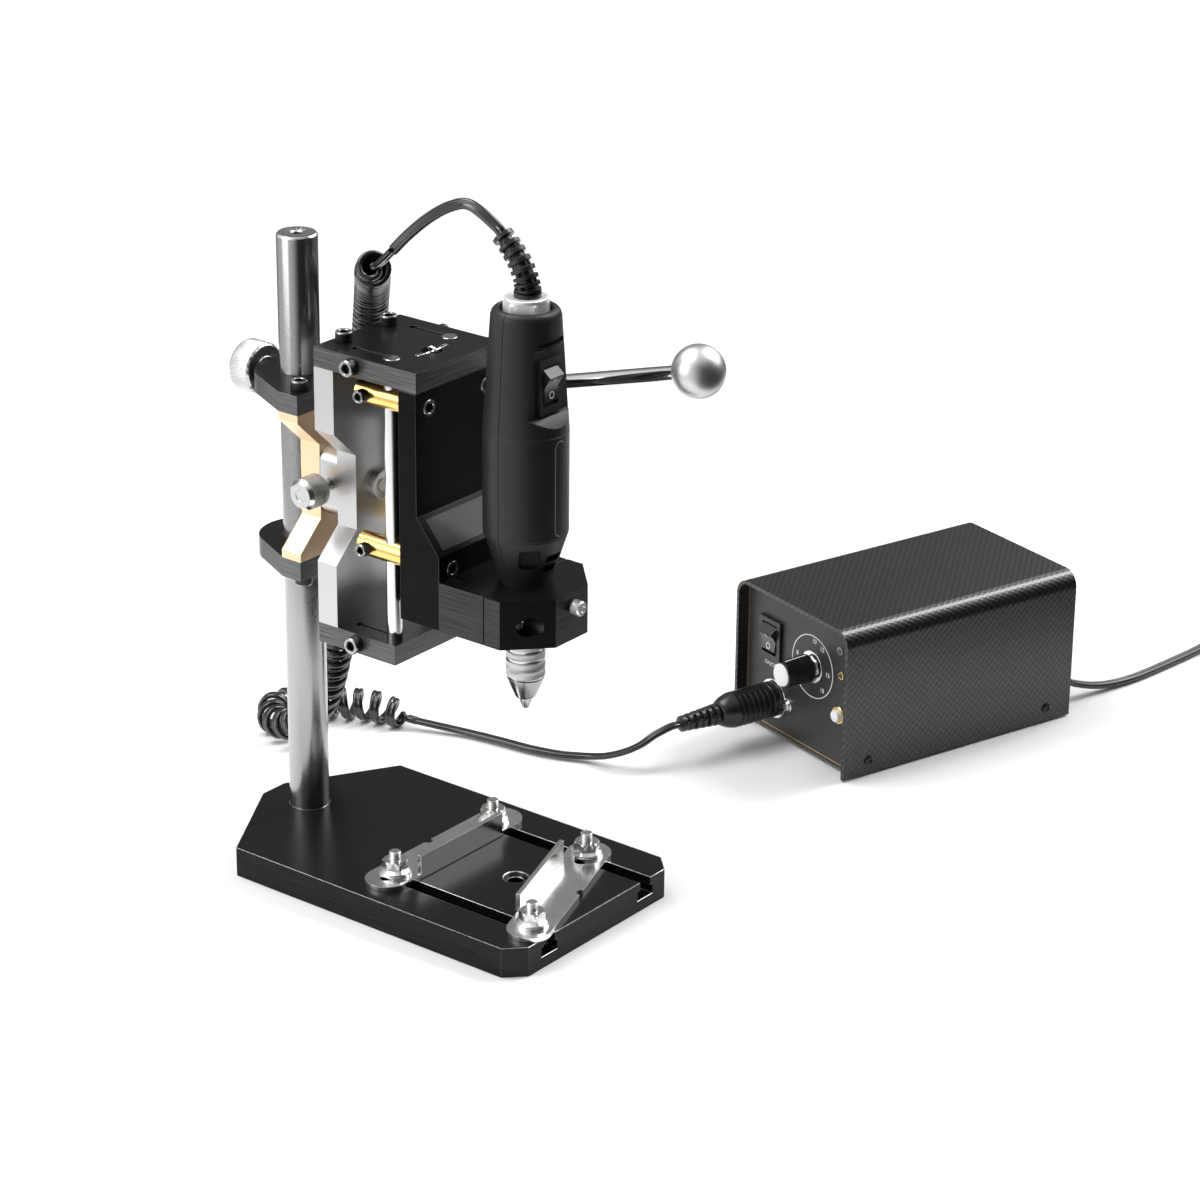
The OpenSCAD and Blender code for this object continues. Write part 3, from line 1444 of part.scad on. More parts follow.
plug_body_d = 19.6;
plug_body_u = -32;
plug_ribs = 6;
module din_plug() {
    front = panel_u - 1.5 - seat_gap;
    nose = plug_body_u + 8;
    color("#141415") in_box() translate([0, plug_w, plug_z]) {
        rod_x(13, front - eps, 8);
        rod_x(plug_body_d, nose, front - nose);
        translate([plug_body_u, 0, 0]) rotate([0, 90, 0]) cylinder(d1 = 12, d2 = plug_body_d, h = 8 + eps);
        rod_x(6.6, plug_tail_u, plug_body_u - plug_tail_u + eps);
        pitch = (plug_body_u - plug_tail_u) / plug_ribs;
        for (i = [0:plug_ribs - 1])
            translate([plug_tail_u + i * pitch, 0, 0]) rotate([0, 90, 0])
                cylinder(d1 = 8.6 + 0.6 * i, d2 = 8.8 + 0.6 * i, h = pitch * 0.6);
    }
}

// ---------------------------------------------------------------- mains cord
gland_end_u = box_l + 5;
module mains_gland() {
    color("#141415") in_box() translate([0, gland_w, gland_z]) {
        rod_x(gland_d, rear_u - 4, 8);
        rod_x(gland_d + 4, rear_u + 2, 1.6);
        translate([rear_u + 3, 0, 0]) rotate([0, 90, 0])
            cylinder(d1 = gland_d, d2 = 7, h = gland_end_u - rear_u - 3);
    }
}

coil_z = [mains_t / 2 + 0.1, mains_t * 1.5 + 0.7];
coil_outer = coil_inner + coil_step * mains_loops / 2;
coil_start = 90;

// The coil spirals in on the bench, climbs in the half turn where it reverses, and spirals out again
function coil_height(turn) =
    coil_z[0] + (coil_z[1] - coil_z[0]) * smooth_step((turn - mains_loops / 2 + 0.25) / 0.5);
function coil_radius(turn) = coil_inner + coil_step * abs(turn - mains_loops / 2);
function coil_spot(turn) = [
    coil_centre.x + coil_radius(turn) * cos(coil_start - 360 * turn),
    coil_centre.y + coil_radius(turn) * sin(coil_start - 360 * turn),
    coil_height(turn)
];
function mains_coil_way(turn) = unit(coil_spot(turn + 0.01) - coil_spot(turn - 0.01));

function mains_coil_path() = concat(
    [coil_spot(0) - mains_coil_way(0) * mains_w],
    [for (k = [0:mains_loops * 24]) coil_spot(k / 24)],
    [coil_spot(mains_loops) + mains_coil_way(mains_loops) * mains_tail]
);

module mains_cord_coil() {
    p = mains_coil_path();
    n = [for (q = p) [0, 0, 1]];
    a = [mains_t / 2];
    b = [mains_w / 2];
    echo(mains_least_gap = least_gap(ring_points(p, n, a, b, 6), len(p), 6, 12, 48));
    echo(mains_coil_length = path_length(p));
    color("#111112") tube(p, n, a, b, 6);
}

module mains_cord_run() {
    start = box_point([gland_end_u, gland_w, gland_z]);
    p = smooth_path(concat([start, box_point([gland_end_u + 7, gland_w, gland_z])], mains_points,
                           [mains_coil_path()[0]]), 3);
    echo(mains_run_length = path_length(p));
    color("#111112") tube(p, [for (q = p) [0, 0, 1]], [mains_t / 2], [mains_w / 2], 8);
}

// Two-blade plug, lying flat where the coil's outer end leaves
plug_len = 26;
mains_relief_len = 24;
module mains_plug() {
    p = mains_coil_path();
    end = p[len(p) - 1];
    way = mains_coil_way(mains_loops);
    level = 9;
    color("#141415") translate([end.x, end.y, 0]) rotate(atan2(way.y, way.x)) {
        translate([0, 0, end.z]) rotate([0, 90, 0]) cylinder(d1 = 7.4, d2 = 11, h = mains_relief_len);
        translate([mains_relief_len - 2, 0, level]) rotate([90, 0, 90])
            linear_extrude(plug_len) round_rect(24, 16, 4);
    }
    color("#c8b27a") translate([end.x, end.y, 0]) rotate(atan2(way.y, way.x))
        for (s = [-1, 1]) translate([mains_relief_len + plug_len - 3, s * 6.35 - 0.75, level - 3.15])
            cube([17, 1.5, 6.3]);
}

base_plate();
rear_fence();
front_fence();
column();
column_bolt();
upper_column_clamp();
lower_column_clamp();
pivot_bracket();
bracket_bolts();
column_lock_knob();
back_plate();
tilt_boss();
top_plate();
bottom_plate();
guide_rods();
head_screws();
return_spring();
feed_rack();
tilt_thumbscrew();
carriage_frame();
slope_panel();
guide_bushes();
carriage_screws();
pinion_bearing();
pinion_shaft();
lever_arm();
ball_knob();
arm_block();
clamp_front();
tool_thumbscrew();
tool_shell_rear();
tool_shell_front();
tool_motor();
tool_switch_frame();
tool_rocker();
cable_nut();
strain_relief();
spindle();
chuck_sleeve();
tool_cord_arc();
curly_cord_coil();
curly_cord_run();
din_plug();
din_socket();
ctrl_cover();
ctrl_chassis();
ctrl_front_panel();
ctrl_feet();
ctrl_cover_screws();
ctrl_internals();
ctrl_switch_frame();
ctrl_rocker();
ctrl_panel_fittings();
speed_knob();
mode_button();
mains_gland();
mains_cord_run();
mains_cord_coil();
mains_plug();
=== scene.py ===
"""Looks of a bench drill stand with a hand rotary tool, its curly cord and its speed controller."""

import json
import math

import bmesh
import bpy
import numpy as np
from mathutils import Matrix, Vector

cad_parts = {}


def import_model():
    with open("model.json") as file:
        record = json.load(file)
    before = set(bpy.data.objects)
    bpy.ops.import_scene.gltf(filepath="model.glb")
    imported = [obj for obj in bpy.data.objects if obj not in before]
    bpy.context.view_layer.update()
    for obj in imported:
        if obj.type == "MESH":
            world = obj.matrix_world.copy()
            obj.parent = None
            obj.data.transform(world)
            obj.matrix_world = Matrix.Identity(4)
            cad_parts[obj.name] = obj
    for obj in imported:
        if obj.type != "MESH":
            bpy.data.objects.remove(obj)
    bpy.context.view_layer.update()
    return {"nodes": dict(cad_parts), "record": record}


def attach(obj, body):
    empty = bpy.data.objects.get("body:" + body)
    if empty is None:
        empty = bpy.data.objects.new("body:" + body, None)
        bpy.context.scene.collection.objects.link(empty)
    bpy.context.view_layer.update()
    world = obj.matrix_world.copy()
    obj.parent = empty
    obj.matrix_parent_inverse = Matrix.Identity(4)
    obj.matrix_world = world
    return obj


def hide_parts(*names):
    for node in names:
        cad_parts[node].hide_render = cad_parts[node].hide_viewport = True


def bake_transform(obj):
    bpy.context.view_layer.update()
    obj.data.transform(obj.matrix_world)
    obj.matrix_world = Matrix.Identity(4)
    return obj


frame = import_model()
NODES = frame["nodes"]
BODY_OF = {n: b for b, ns in frame["record"]["behaviour"]["bodies"].items() for n in ns}
MM = 0.001
X, Y, UP = np.eye(3)
rad = math.radians


def linked(obj):
    bpy.context.scene.collection.objects.link(obj)
    return obj


def unit(v):
    return np.asarray(v, float) / np.linalg.norm(v)


# ---------------------------------------------------------------- camera
def aim_camera():
    azimuth, height, roll = rad(-52.21188), rad(22.48897), rad(0.56643)
    distance, focal_pixels, picture_pixels = 1.768638, 3712.15, 1200
    target = Vector((39.028, -13.911, 153.918)) * MM
    flat = math.cos(height)
    way = Vector((math.sin(azimuth) * flat, -math.cos(azimuth) * flat, math.sin(height)))
    right = (-way).cross(Vector((0, 0, 1))).normalized()
    up = right.cross(-way)
    data = bpy.data.cameras.new("camera")
    data.sensor_fit = "HORIZONTAL"
    data.sensor_width = 36.0
    data.lens = focal_pixels / picture_pixels * data.sensor_width
    data.clip_start, data.clip_end = 0.05, 50
    cam = linked(bpy.data.objects.new("camera", data))
    c, s = math.cos(roll), math.sin(roll)
    m = Matrix((right * c + up * s, up * c - right * s, way)).transposed().to_4x4()
    m.translation = target + way * distance
    cam.matrix_world = m
    bpy.context.scene.camera = cam


aim_camera()


# ---------------------------------------------------------------- materials
class Look:
    """A Principled material and short calls that add nodes to it. Lengths are millimetres of object space."""

    def __init__(self, name, metal=0.0):
        self.mat = bpy.data.materials.new(name)
        self.mat.use_nodes = True
        self.tree = self.mat.node_tree
        self.shader = self.tree.nodes["Principled BSDF"]
        self.set(Base_Color=(0.5, 0.5, 0.5), Metallic=metal)
        self.where = None

    def set(self, **values):
        for key, value in values.items():
            self.plug(self.shader.inputs[key.replace("_", " ")], value)
        return self.mat

    def plug(self, socket, value):
        """Links a socket or sets a value; a colour without alpha gets 1."""
        if isinstance(value, bpy.types.NodeSocket):
            self.tree.links.new(value, socket)
        elif isinstance(value, (tuple, list)):
            value = tuple(value)
            socket.default_value = value + (1.0,) * (len(socket.default_value) - len(value))
        else:
            socket.default_value = value

    def add(self, kind, inputs=(), out=0, **props):
        n = self.tree.nodes.new(kind)
        for key, value in props.items():
            setattr(n, key, value)
        for key, value in dict(inputs).items():
            self.plug(n.inputs[key], value)
        return n.outputs[out]

    def place(self):
        """Object coordinates in millimetres."""
        if self.where is None:
            c = self.add("ShaderNodeTexCoord", out="Object")
            self.where = self.add("ShaderNodeVectorMath", {0: c, "Scale": 1000.0}, operation="SCALE")
        return self.where

    def vector(self, op, a, b=(0.0, 0.0, 0.0), out=0):
        return self.add("ShaderNodeVectorMath", {0: a, 1: tuple(b)}, out, operation=op)

    def noise(self, scale, detail=3.0, rough=0.55, stretch=None):
        where = self.vector("MULTIPLY", self.place(), stretch) if stretch else self.place()
        inputs = {"Vector": where, "Scale": scale, "Detail": detail, "Roughness": rough}
        return self.add("ShaderNodeTexNoise", inputs)

    def span(self, value, a, b, c=0.0, d=1.0):
        """value taken from the span a..b to c..d and kept inside it."""
        return self.add("ShaderNodeMapRange", {0: value, 1: a, 2: b, 3: c, 4: d}, clamp=True)

    def math(self, op, a, b=0.0):
        return self.add("ShaderNodeMath", {0: a, 1: b}, operation=op)

    def blend(self, share, a, b):
        return self.add("ShaderNodeMix", {0: share, 6: a, 7: b}, 2, data_type="RGBA")

    def blend_value(self, share, a, b):
        return self.add("ShaderNodeMix", {0: share, 2: a, 3: b}, 0, data_type="FLOAT")

    def bump(self, height, depth_mm, under=None):
        inputs = {"Height": height, "Distance": depth_mm * MM, "Strength": 1.0}
        if under is not None:
            inputs["Normal"] = under
        return self.add("ShaderNodeBump", inputs)

    def axes(self, vector):
        n = self.tree.nodes.new("ShaderNodeSeparateXYZ")
        self.plug(n.inputs[0], vector)
        return n.outputs

    def facing(self, index):
        """How far the object-space normal points along an axis, 0 to 1."""
        return self.math("ABSOLUTE", self.axes(self.add("ShaderNodeTexCoord", out="Normal"))[index])


def tint(colour, share):
    return tuple(c * share for c in colour)


def grey(v):
    return (v, v, v)


def anodised(name, milled=0.16, spec=0.28):
    """Black anodised plate: satin broad faces, and cut sides that show fine level streaks."""
    k = Look(name)
    side = k.span(k.math("MAXIMUM", k.facing(0), k.facing(1)), 0.9, 0.97)
    streak = k.noise(1.0, 5.0, 0.6, (0.035, 0.035, 2.6))
    grain = k.noise(9.0, 2.0, 0.5)
    face = k.blend(k.noise(0.035, 2.0, 0.5), (0.0035, 0.0035, 0.0038), (0.007, 0.007, 0.0073))
    cut = k.blend(k.span(streak, 0.36, 0.66), grey(milled * 0.42), grey(milled * 1.25))
    satin = k.span(grain, 0.3, 0.7, 0.24, 0.31)
    return k.set(
        Base_Color=k.blend(side, face, cut),
        Metallic=k.math("MULTIPLY", side, 0.8),
        Roughness=k.blend_value(side, satin, k.span(streak, 0.35, 0.65, 0.30, 0.44)),
        Specular_IOR_Level=spec,
        Normal=k.bump(streak, 0.012, k.bump(grain, 0.003)),
    )


def edge_painted_highlight(name, bright, dark=0.012, rough=0.26):
    """A bevel painted as a highlight: its upward side is painted light and metallic where the top light falls,
    while its upright corners stay black.
    """
    k = Look(name)
    # up is the painted highlight's mask: the more a bevel faces upward, the lighter and more metallic it is
    # painted
    up = k.span(k.facing(2), 0.22, 0.55)
    scratch = k.noise(1.0, 3.0, 0.6, (0.4, 0.4, 3.0))
    light = k.blend(k.span(scratch, 0.3, 0.7), grey(bright * 0.8), grey(bright))
    return k.set(
        Base_Color=k.blend(up, grey(dark), light),
        Metallic=up,
        Roughness=k.span(scratch, 0.3, 0.7, rough - 0.03, rough + 0.06),
        Specular_IOR_Level=0.3,
        Normal=k.bump(scratch, 0.003),
    )


def satin_metal(name, colour, rough=0.36, grain_mm=0.006, metal=1.0):
    """Fine blasted and anodised metal."""
    k = Look(name, metal)
    soft, grain = k.noise(0.05, 3.0), k.noise(5.5, 3.0, 0.6)
    fine = k.span(grain, 0.3, 0.7, rough - 0.03, rough + 0.04)
    return k.set(
        Base_Color=k.blend(k.span(grain, 0.3, 0.7), tint(colour, 0.93), colour),
        Roughness=k.math("ADD", fine, k.span(soft, 0.3, 0.7, -0.02, 0.03)),
        Normal=k.bump(grain, grain_mm),
    )


def ground_steel(name, colour, rough):
    """Round bar: rings of grinding and a faint mottle."""
    k = Look(name, 1.0)
    rings = k.noise(1.0, 4.0, 0.65, (0.12, 0.12, 5.0))
    mottle = k.noise(1.1, 4.0, 0.7)
    return k.set(
        Base_Color=k.blend(k.span(mottle, 0.35, 0.7), tint(colour, 0.8), colour),
        Roughness=k.span(mottle, 0.3, 0.7, rough - 0.03, rough + 0.1),
        Normal=k.bump(rings, 0.004, k.bump(mottle, 0.006)),
    )


def polished(name, colour, rough=0.12, lines=(0.3, 0.3, 4.0), depth=0.0025):
    """Bright turned or plated metal with hair scratches and slight clouding."""
    k = Look(name, 1.0)
    scratch = k.noise(1.0, 4.0, 0.7, lines)
    cloud = k.noise(0.12, 3.0)
    fine = k.span(scratch, 0.35, 0.7, rough * 0.94, rough * 1.12)
    return k.set(
        Base_Color=k.blend(k.span(cloud, 0.3, 0.7), tint(colour, 0.93), colour),
        Roughness=k.math("ADD", fine, k.span(cloud, 0.3, 0.7, -0.01, 0.03)),
        Normal=k.bump(scratch, depth),
    )


def spun(name, colour, centre, axis, rough=0.22):
    """A turned end face: rings about a centre that catch the light in rays."""
    k = Look(name, 1.0)
    off = k.vector("SUBTRACT", k.place(), centre)
    flat = k.vector("MULTIPLY", off, (0.0 if i == axis else 1.0 for i in range(3)))
    r = k.add("ShaderNodeVectorMath", {0: flat}, out="Value", operation="LENGTH")
    inputs = {"W": r, "Scale": 3.2, "Detail": 3.0, "Roughness": 0.7}
    rings = k.add("ShaderNodeTexNoise", inputs, noise_dimensions="1D")
    return k.set(
        Base_Color=k.blend(rings, tint(colour, 0.85), colour),
        Roughness=k.span(rings, 0.3, 0.7, rough - 0.04, rough + 0.1),
        Normal=k.bump(rings, 0.012),
    )


def moulded(name, colour, rough=0.5, grain=2.4, depth=0.03, coat=0.0, variation=0.25, spec=0.5):
    """Moulded plastic or rubber: spark-eroded grain and slight cloudiness."""
    k = Look(name)
    fine, soft = k.noise(grain, 3.0, 0.6), k.noise(0.06, 3.0)
    share = k.span(k.math("ADD", fine, k.math("MULTIPLY", soft, 0.4)), 0.45, 0.95)
    k.set(
        Base_Color=k.blend(share, tint(colour, 1 - variation), tint(colour, 1 + variation)),
        Roughness=k.span(fine, 0.3, 0.7, rough - 0.05, rough + 0.07),
        Normal=k.bump(fine, depth),
        Specular_IOR_Level=spec,
    )
    if coat:
        k.set(Coat_Weight=coat, Coat_Roughness=0.12)
    return k.mat


def woven(name, turn, pitch, low, high, rough, depth, coat):
    """Satin black coat with a pressed carbon-weave pattern: a twill of small lozenges on every side."""
    k = Look(name)
    inputs = {"Vector": k.place(), "Rotation": (0, 0, rad(-turn))}
    x, y, z = k.axes(k.add("ShaderNodeVectorRotate", inputs, rotation_type="EULER_XYZ"))
    step = 2 * math.pi / pitch
    one, two = (k.math("SINE", k.math("MULTIPLY", v, step)) for v in (x, k.math("ADD", y, z)))
    thread = k.math("MULTIPLY", one, two)
    grain = k.noise(4.0, 2.0)
    tone = k.span(k.math("ADD", thread, k.math("MULTIPLY", grain, 0.5)), -0.3, 1.0)
    return k.set(
        Base_Color=k.blend(tone, low, high),
        Roughness=k.span(thread, -0.8, 0.8, rough + 0.08, rough - 0.04),
        Normal=k.bump(k.span(thread, -0.7, 0.7), depth, k.bump(grain, 0.01)),
        Specular_IOR_Level=0.34,
        Coat_Weight=coat,
        Coat_Roughness=0.13,
    )


HAIR, ROUND_GRAIN = (3.0, 3.0, 3.0), (3.0, 3.0, 5.0)
MAT = {
    "black": anodised("anodised_black", 0.14),
    "black_base": anodised("anodised_black_base", 0.02, 0.24),
    "black_clamp": anodised("anodised_black_clamp", 0.17),
    "black_arm": anodised("anodised_black_arm", 0.055, 0.2),
    "carriage": anodised("anodised_black_carriage", 0.006, 0.16),
    # the chamfers' lighter upward bevels are a painted highlight
    "chamfer": edge_painted_highlight("chamfer_painted_highlight", 0.6),
    "chamfer_thin": edge_painted_highlight("thin_chamfer_painted_highlight", 0.24),
    "turned_edge": polished("turned_edge", grey(0.62), 0.24),
    "silver": satin_metal("anodised_silver", (0.58, 0.58, 0.585), 0.34),
    "silver_edge": satin_metal("anodised_silver_edge", grey(0.78), 0.27),
    "gold": satin_metal("anodised_champagne", (0.93, 0.70, 0.47), 0.42, 0.02),
    "gold_edge": satin_metal("anodised_champagne_edge", (1.0, 0.83, 0.6), 0.3),
    "column": ground_steel("ground_steel", (0.45, 0.45, 0.445), 0.17),
    "rod": polished("bright_rod", grey(0.80), 0.12, (0.3, 0.3, 2.0), 0.0004),
    "nickel": polished("bright_nickel", (0.92, 0.92, 0.91), 0.20, (1.2, 0.25, 0.25), 0.0006),
    "nickel_edge": polished("bright_nickel_edge", (0.92, 0.92, 0.91), 0.15, depth=0.0006),
    "bolt": polished("zinc_bolt", (0.74, 0.74, 0.73), 0.25, depth=0.0008),
    "chrome": polished("chrome", grey(0.88), 0.05),
    "ball": polished("satin_ball", (0.68, 0.68, 0.67), 0.36, (2.0, 2.0, 2.0)),
    "brass": polished("polished_brass", (0.95, 0.64, 0.22), 0.17, (0.2, 3.0, 3.0)),
    "steel": polished("turned_steel", (0.50, 0.50, 0.49), 0.22, HAIR),
    "gear": polished("gear_steel", (0.42, 0.42, 0.41), 0.32, (3.0, 0.4, 0.4)),
    "knurl": polished("knurled_steel", (0.60, 0.60, 0.59), 0.34, (1.0, 1.0, 1.0), 0.0008),
    "oxide": satin_metal("black_oxide", (0.05, 0.05, 0.051), 0.30, 0.004, 0.9),
    # a lighter grey for the cap screws' rims: a painted highlight round the heads
    "oxide_rim": satin_metal("painted_highlight_screw_rim", grey(0.42), 0.24, 0.004),
    "spring": polished("spring_wire", (0.70, 0.70, 0.69), 0.16, (2.0, 2.0, 2.0)),
    "nut_white": satin_metal("bright_nut", (0.93, 0.93, 0.92), 0.34, 0.003, 0.35),
    "tool": moulded("tool_shell_plastic", (0.0145, 0.0148, 0.0155), 0.42, 2.8, 0.03, spec=0.36),
    # near-black plastic for the depths of the tool's openings: painted shade
    "tool_inner": moulded("tool_openings_painted_shade", (0.005, 0.005, 0.0055), 0.5, 2.6, 0.02),
    "badge": moulded("badge_field", (0.010, 0.010, 0.0105), 0.36, 3.5, 0.012),
    "badge_line": moulded("badge_line", (0.20, 0.20, 0.205), 0.4, 3.5, 0.01),
    "bezel": moulded("switch_bezel_plastic", (0.012, 0.012, 0.0125), 0.34, 3.5, 0.012),
    "bezel_edge": moulded("switch_bezel_edge", (0.075, 0.075, 0.077), 0.3, 3.5, 0.01),
    "rocker": moulded("rocker_plastic", (0.011, 0.011, 0.012), 0.26, 3.5, 0.006, coat=0.3),
    "knob": moulded("knob_plastic", (0.006, 0.006, 0.0065), 0.3, 3.5, 0.01),
    "cord": moulded("cord_pvc", (0.006, 0.006, 0.0064), 0.20, 1.6, 0.008, coat=0.4),
    "mains": moulded("mains_cord_pvc", (0.006, 0.006, 0.0064), 0.24, 1.6, 0.01, coat=0.3),
    "plug": moulded("plug_pvc", (0.008, 0.008, 0.0085), 0.3, 2.2, 0.02, coat=0.15),
    "relief": moulded("relief_rubber", (0.010, 0.010, 0.0105), 0.32, 2.2, 0.02, coat=0.2),
    "feet": moulded("foot_rubber", grey(0.012), 0.7, 1.2, 0.05),
    "cover": woven("cover_weave", -17.5, 4.2, (0.002, 0.002, 0.0022), (0.020, 0.020, 0.0205), 0.30, 0.10,
                   0.45),
    "cover_rim": satin_metal("cover_rim", (0.13, 0.13, 0.132), 0.32, 0.01, 0.4),
    "panel": moulded("panel_coat", (0.026, 0.026, 0.0265), 0.44, 4.0, 0.006),
    "slope": woven("slope_weave", 0.0, 1.5, grey(0.006), (0.045, 0.045, 0.046), 0.4, 0.05, 0.25),
    "chassis": satin_metal("chassis_steel", grey(0.10), 0.4, 0.01),
    "board": moulded("board_laminate", (0.03, 0.13, 0.05), 0.4, 0.8, 0.02),
    "motor": polished("motor_can", grey(0.5), 0.3),
    "white": moulded("white_print", (0.80, 0.80, 0.79), 0.45, 4.0, 0.004, variation=0.03),
    "white_cap": moulded("white_cap", (0.86, 0.86, 0.85), 0.35, 2.0, 0.01, variation=0.03),
    "gold_print": satin_metal("gold_print", (0.62, 0.43, 0.17), 0.35, 0.004, 0.7),
    "edge_dark": satin_metal("anodised_edge", grey(0.10), 0.30, 0.004, 0.6),
    "brass_edge": polished("brass_edge", (1.0, 0.75, 0.34), 0.12),
    "gold_ring": polished("gold_ring", (0.90, 0.66, 0.28), 0.18),
    "chuck_cone": polished("chuck_cone", (0.42, 0.42, 0.41), 0.2, ROUND_GRAIN),
    "chuck_bright": polished("chuck_bright", (0.60, 0.60, 0.59), 0.15, ROUND_GRAIN),
    "lens": moulded("lamp_lens", (0.06, 0.02, 0.02), 0.12, 1.0, 0.003, coat=0.6),
    "blade": polished("plug_blade", (0.85, 0.72, 0.45), 0.2),
}


# ---------------------------------------------------------------- mesh tools
def make(name, verts, faces, mats, body=None, smooth=True, sharp=None, index=None):
    """A mesh object from points in millimetres. mats is one key or several; index is each face's material."""
    mesh = bpy.data.meshes.new(name)
    mesh.from_pydata([tuple(v) for v in np.asarray(verts, float) * MM], [], [tuple(f) for f in faces])
    for key in mats if isinstance(mats, list) else [mats]:
        mesh.materials.append(MAT[key] if isinstance(key, str) else key)
    if index is not None:
        mesh.polygons.foreach_set("material_index", np.asarray(index, np.int32))
    mesh.polygons.foreach_set("use_smooth", [smooth] * len(mesh.polygons))
    mesh.validate()
    bm = bmesh.new()
    bm.from_mesh(mesh)
    bmesh.ops.remove_doubles(bm, verts=bm.verts, dist=1e-6)
    bmesh.ops.recalc_face_normals(bm, faces=bm.faces)
    bm.to_mesh(mesh)
    bm.free()
    if sharp is not None:
        mesh.set_sharp_from_angle(angle=rad(sharp))
    obj = linked(bpy.data.objects.new(name, mesh))
    if body:
        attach(obj, body)
    return obj


def smooth_and_weigh(obj, sharp):
    """Smooth shading with sharp edges above an angle, and normals weighed by face area."""
    obj.data.polygons.foreach_set("use_smooth", [True] * len(obj.data.polygons))
    obj.data.set_sharp_from_angle(angle=rad(sharp))
    m = obj.modifiers.new("even_normals", "WEIGHTED_NORMAL")
    m.mode = "FACE_AREA"
    m.keep_sharp = True


def frame_of(axis):
    """Two directions across an axis, and the axis."""
    z = unit(axis)
    x = unit(np.cross(z, [0, 0, 1.0] if abs(z[2]) < 0.9 else [1.0, 0, 0]))
    return x, np.cross(z, x), z


def bands(rings, n):
    """Faces between neighbouring rings of n points each."""
    return [
        (j * n + i, j * n + (i + 1) % n, (j + 1) * n + (i + 1) % n, (j + 1) * n + i)
        for j in range(rings - 1) for i in range(n)
    ]


def tube(rings, n):
    """Faces of a closed tube: its bands and its two ends."""
    last = (rings - 1) * n
    return bands(rings, n) + [tuple(reversed(range(n))), tuple(range(last, last + n))]


def skin(loops):
    """Faces between neighbouring loops of point numbers; a loop of one number is a pole."""
    faces = []
    for lo, hi in zip(loops, loops[1:]):
        n = max(len(lo), len(hi))
        for k in range(n if n > 1 else 0):
            m = (k + 1) % n
            if len(lo) == 1:
                faces.append((lo[0], hi[m], hi[k]))
            elif len(hi) == 1:
                faces.append((lo[k], lo[m], hi[0]))
            else:
                faces.append((lo[k], lo[m], hi[m], hi[k]))
    return faces


def lathe(profile, centre, axis, around, radius_at=None):
    """Revolves (radius, height) points about an axis. radius_at(ring, angle, radius) may bend a ring's radius."""
    ax, ay, az = frame_of(axis)
    c = np.asarray(centre, float)
    ang = np.linspace(0, 2 * math.pi, around, endpoint=False)
    verts, loops = [], []
    for i, (r, h) in enumerate(profile):
        if r < 1e-6:
            loops.append([len(verts)])
            verts.append(c + az * h)
            continue
        rr = np.broadcast_to(radius_at(i, ang, r) if radius_at else r, around)
        loops.append(list(range(len(verts), len(verts) + around)))
        verts += [c + ax * q * math.cos(a) + ay * q * math.sin(a) + az * h for a, q in zip(ang, rr)]
    return np.array(verts), skin(loops)


def hex_radius(flats, turn=0.0):
    """Radius of a hexagon across flats, at an angle."""
    return lambda ang: flats / 2 / np.cos((ang + turn) % (math.pi / 3) - math.pi / 6)


def tri(x):
    """A saw between 0 and 1, with its low points at whole numbers."""
    return 1 - np.abs(2 * (x - np.floor(x)) - 1)


def step_rings(a, b, n):
    """n + 1 (radius, height) points from a to b."""
    return [(a[0] + (b[0] - a[0]) * i / n, a[1] + (b[1] - a[1]) * i / n) for i in range(n + 1)]


def circle(r, n=48, cx=0.0, cy=0.0, start=0, end=360):
    """n points round a circle, or n points of an arc with both its ends when it isn't a full turn."""
    angles = np.linspace(start, end, n, endpoint=end - start < 360)
    return [(cx + r * math.cos(rad(a)), cy + r * math.sin(rad(a))) for a in angles]


def placed(origin, right, up, outline):
    """The points of a flat outline on a plane."""
    o, r, u = (np.asarray(v, float) for v in (origin, right, up))
    return [o + r * x + u * y for x, y in outline]


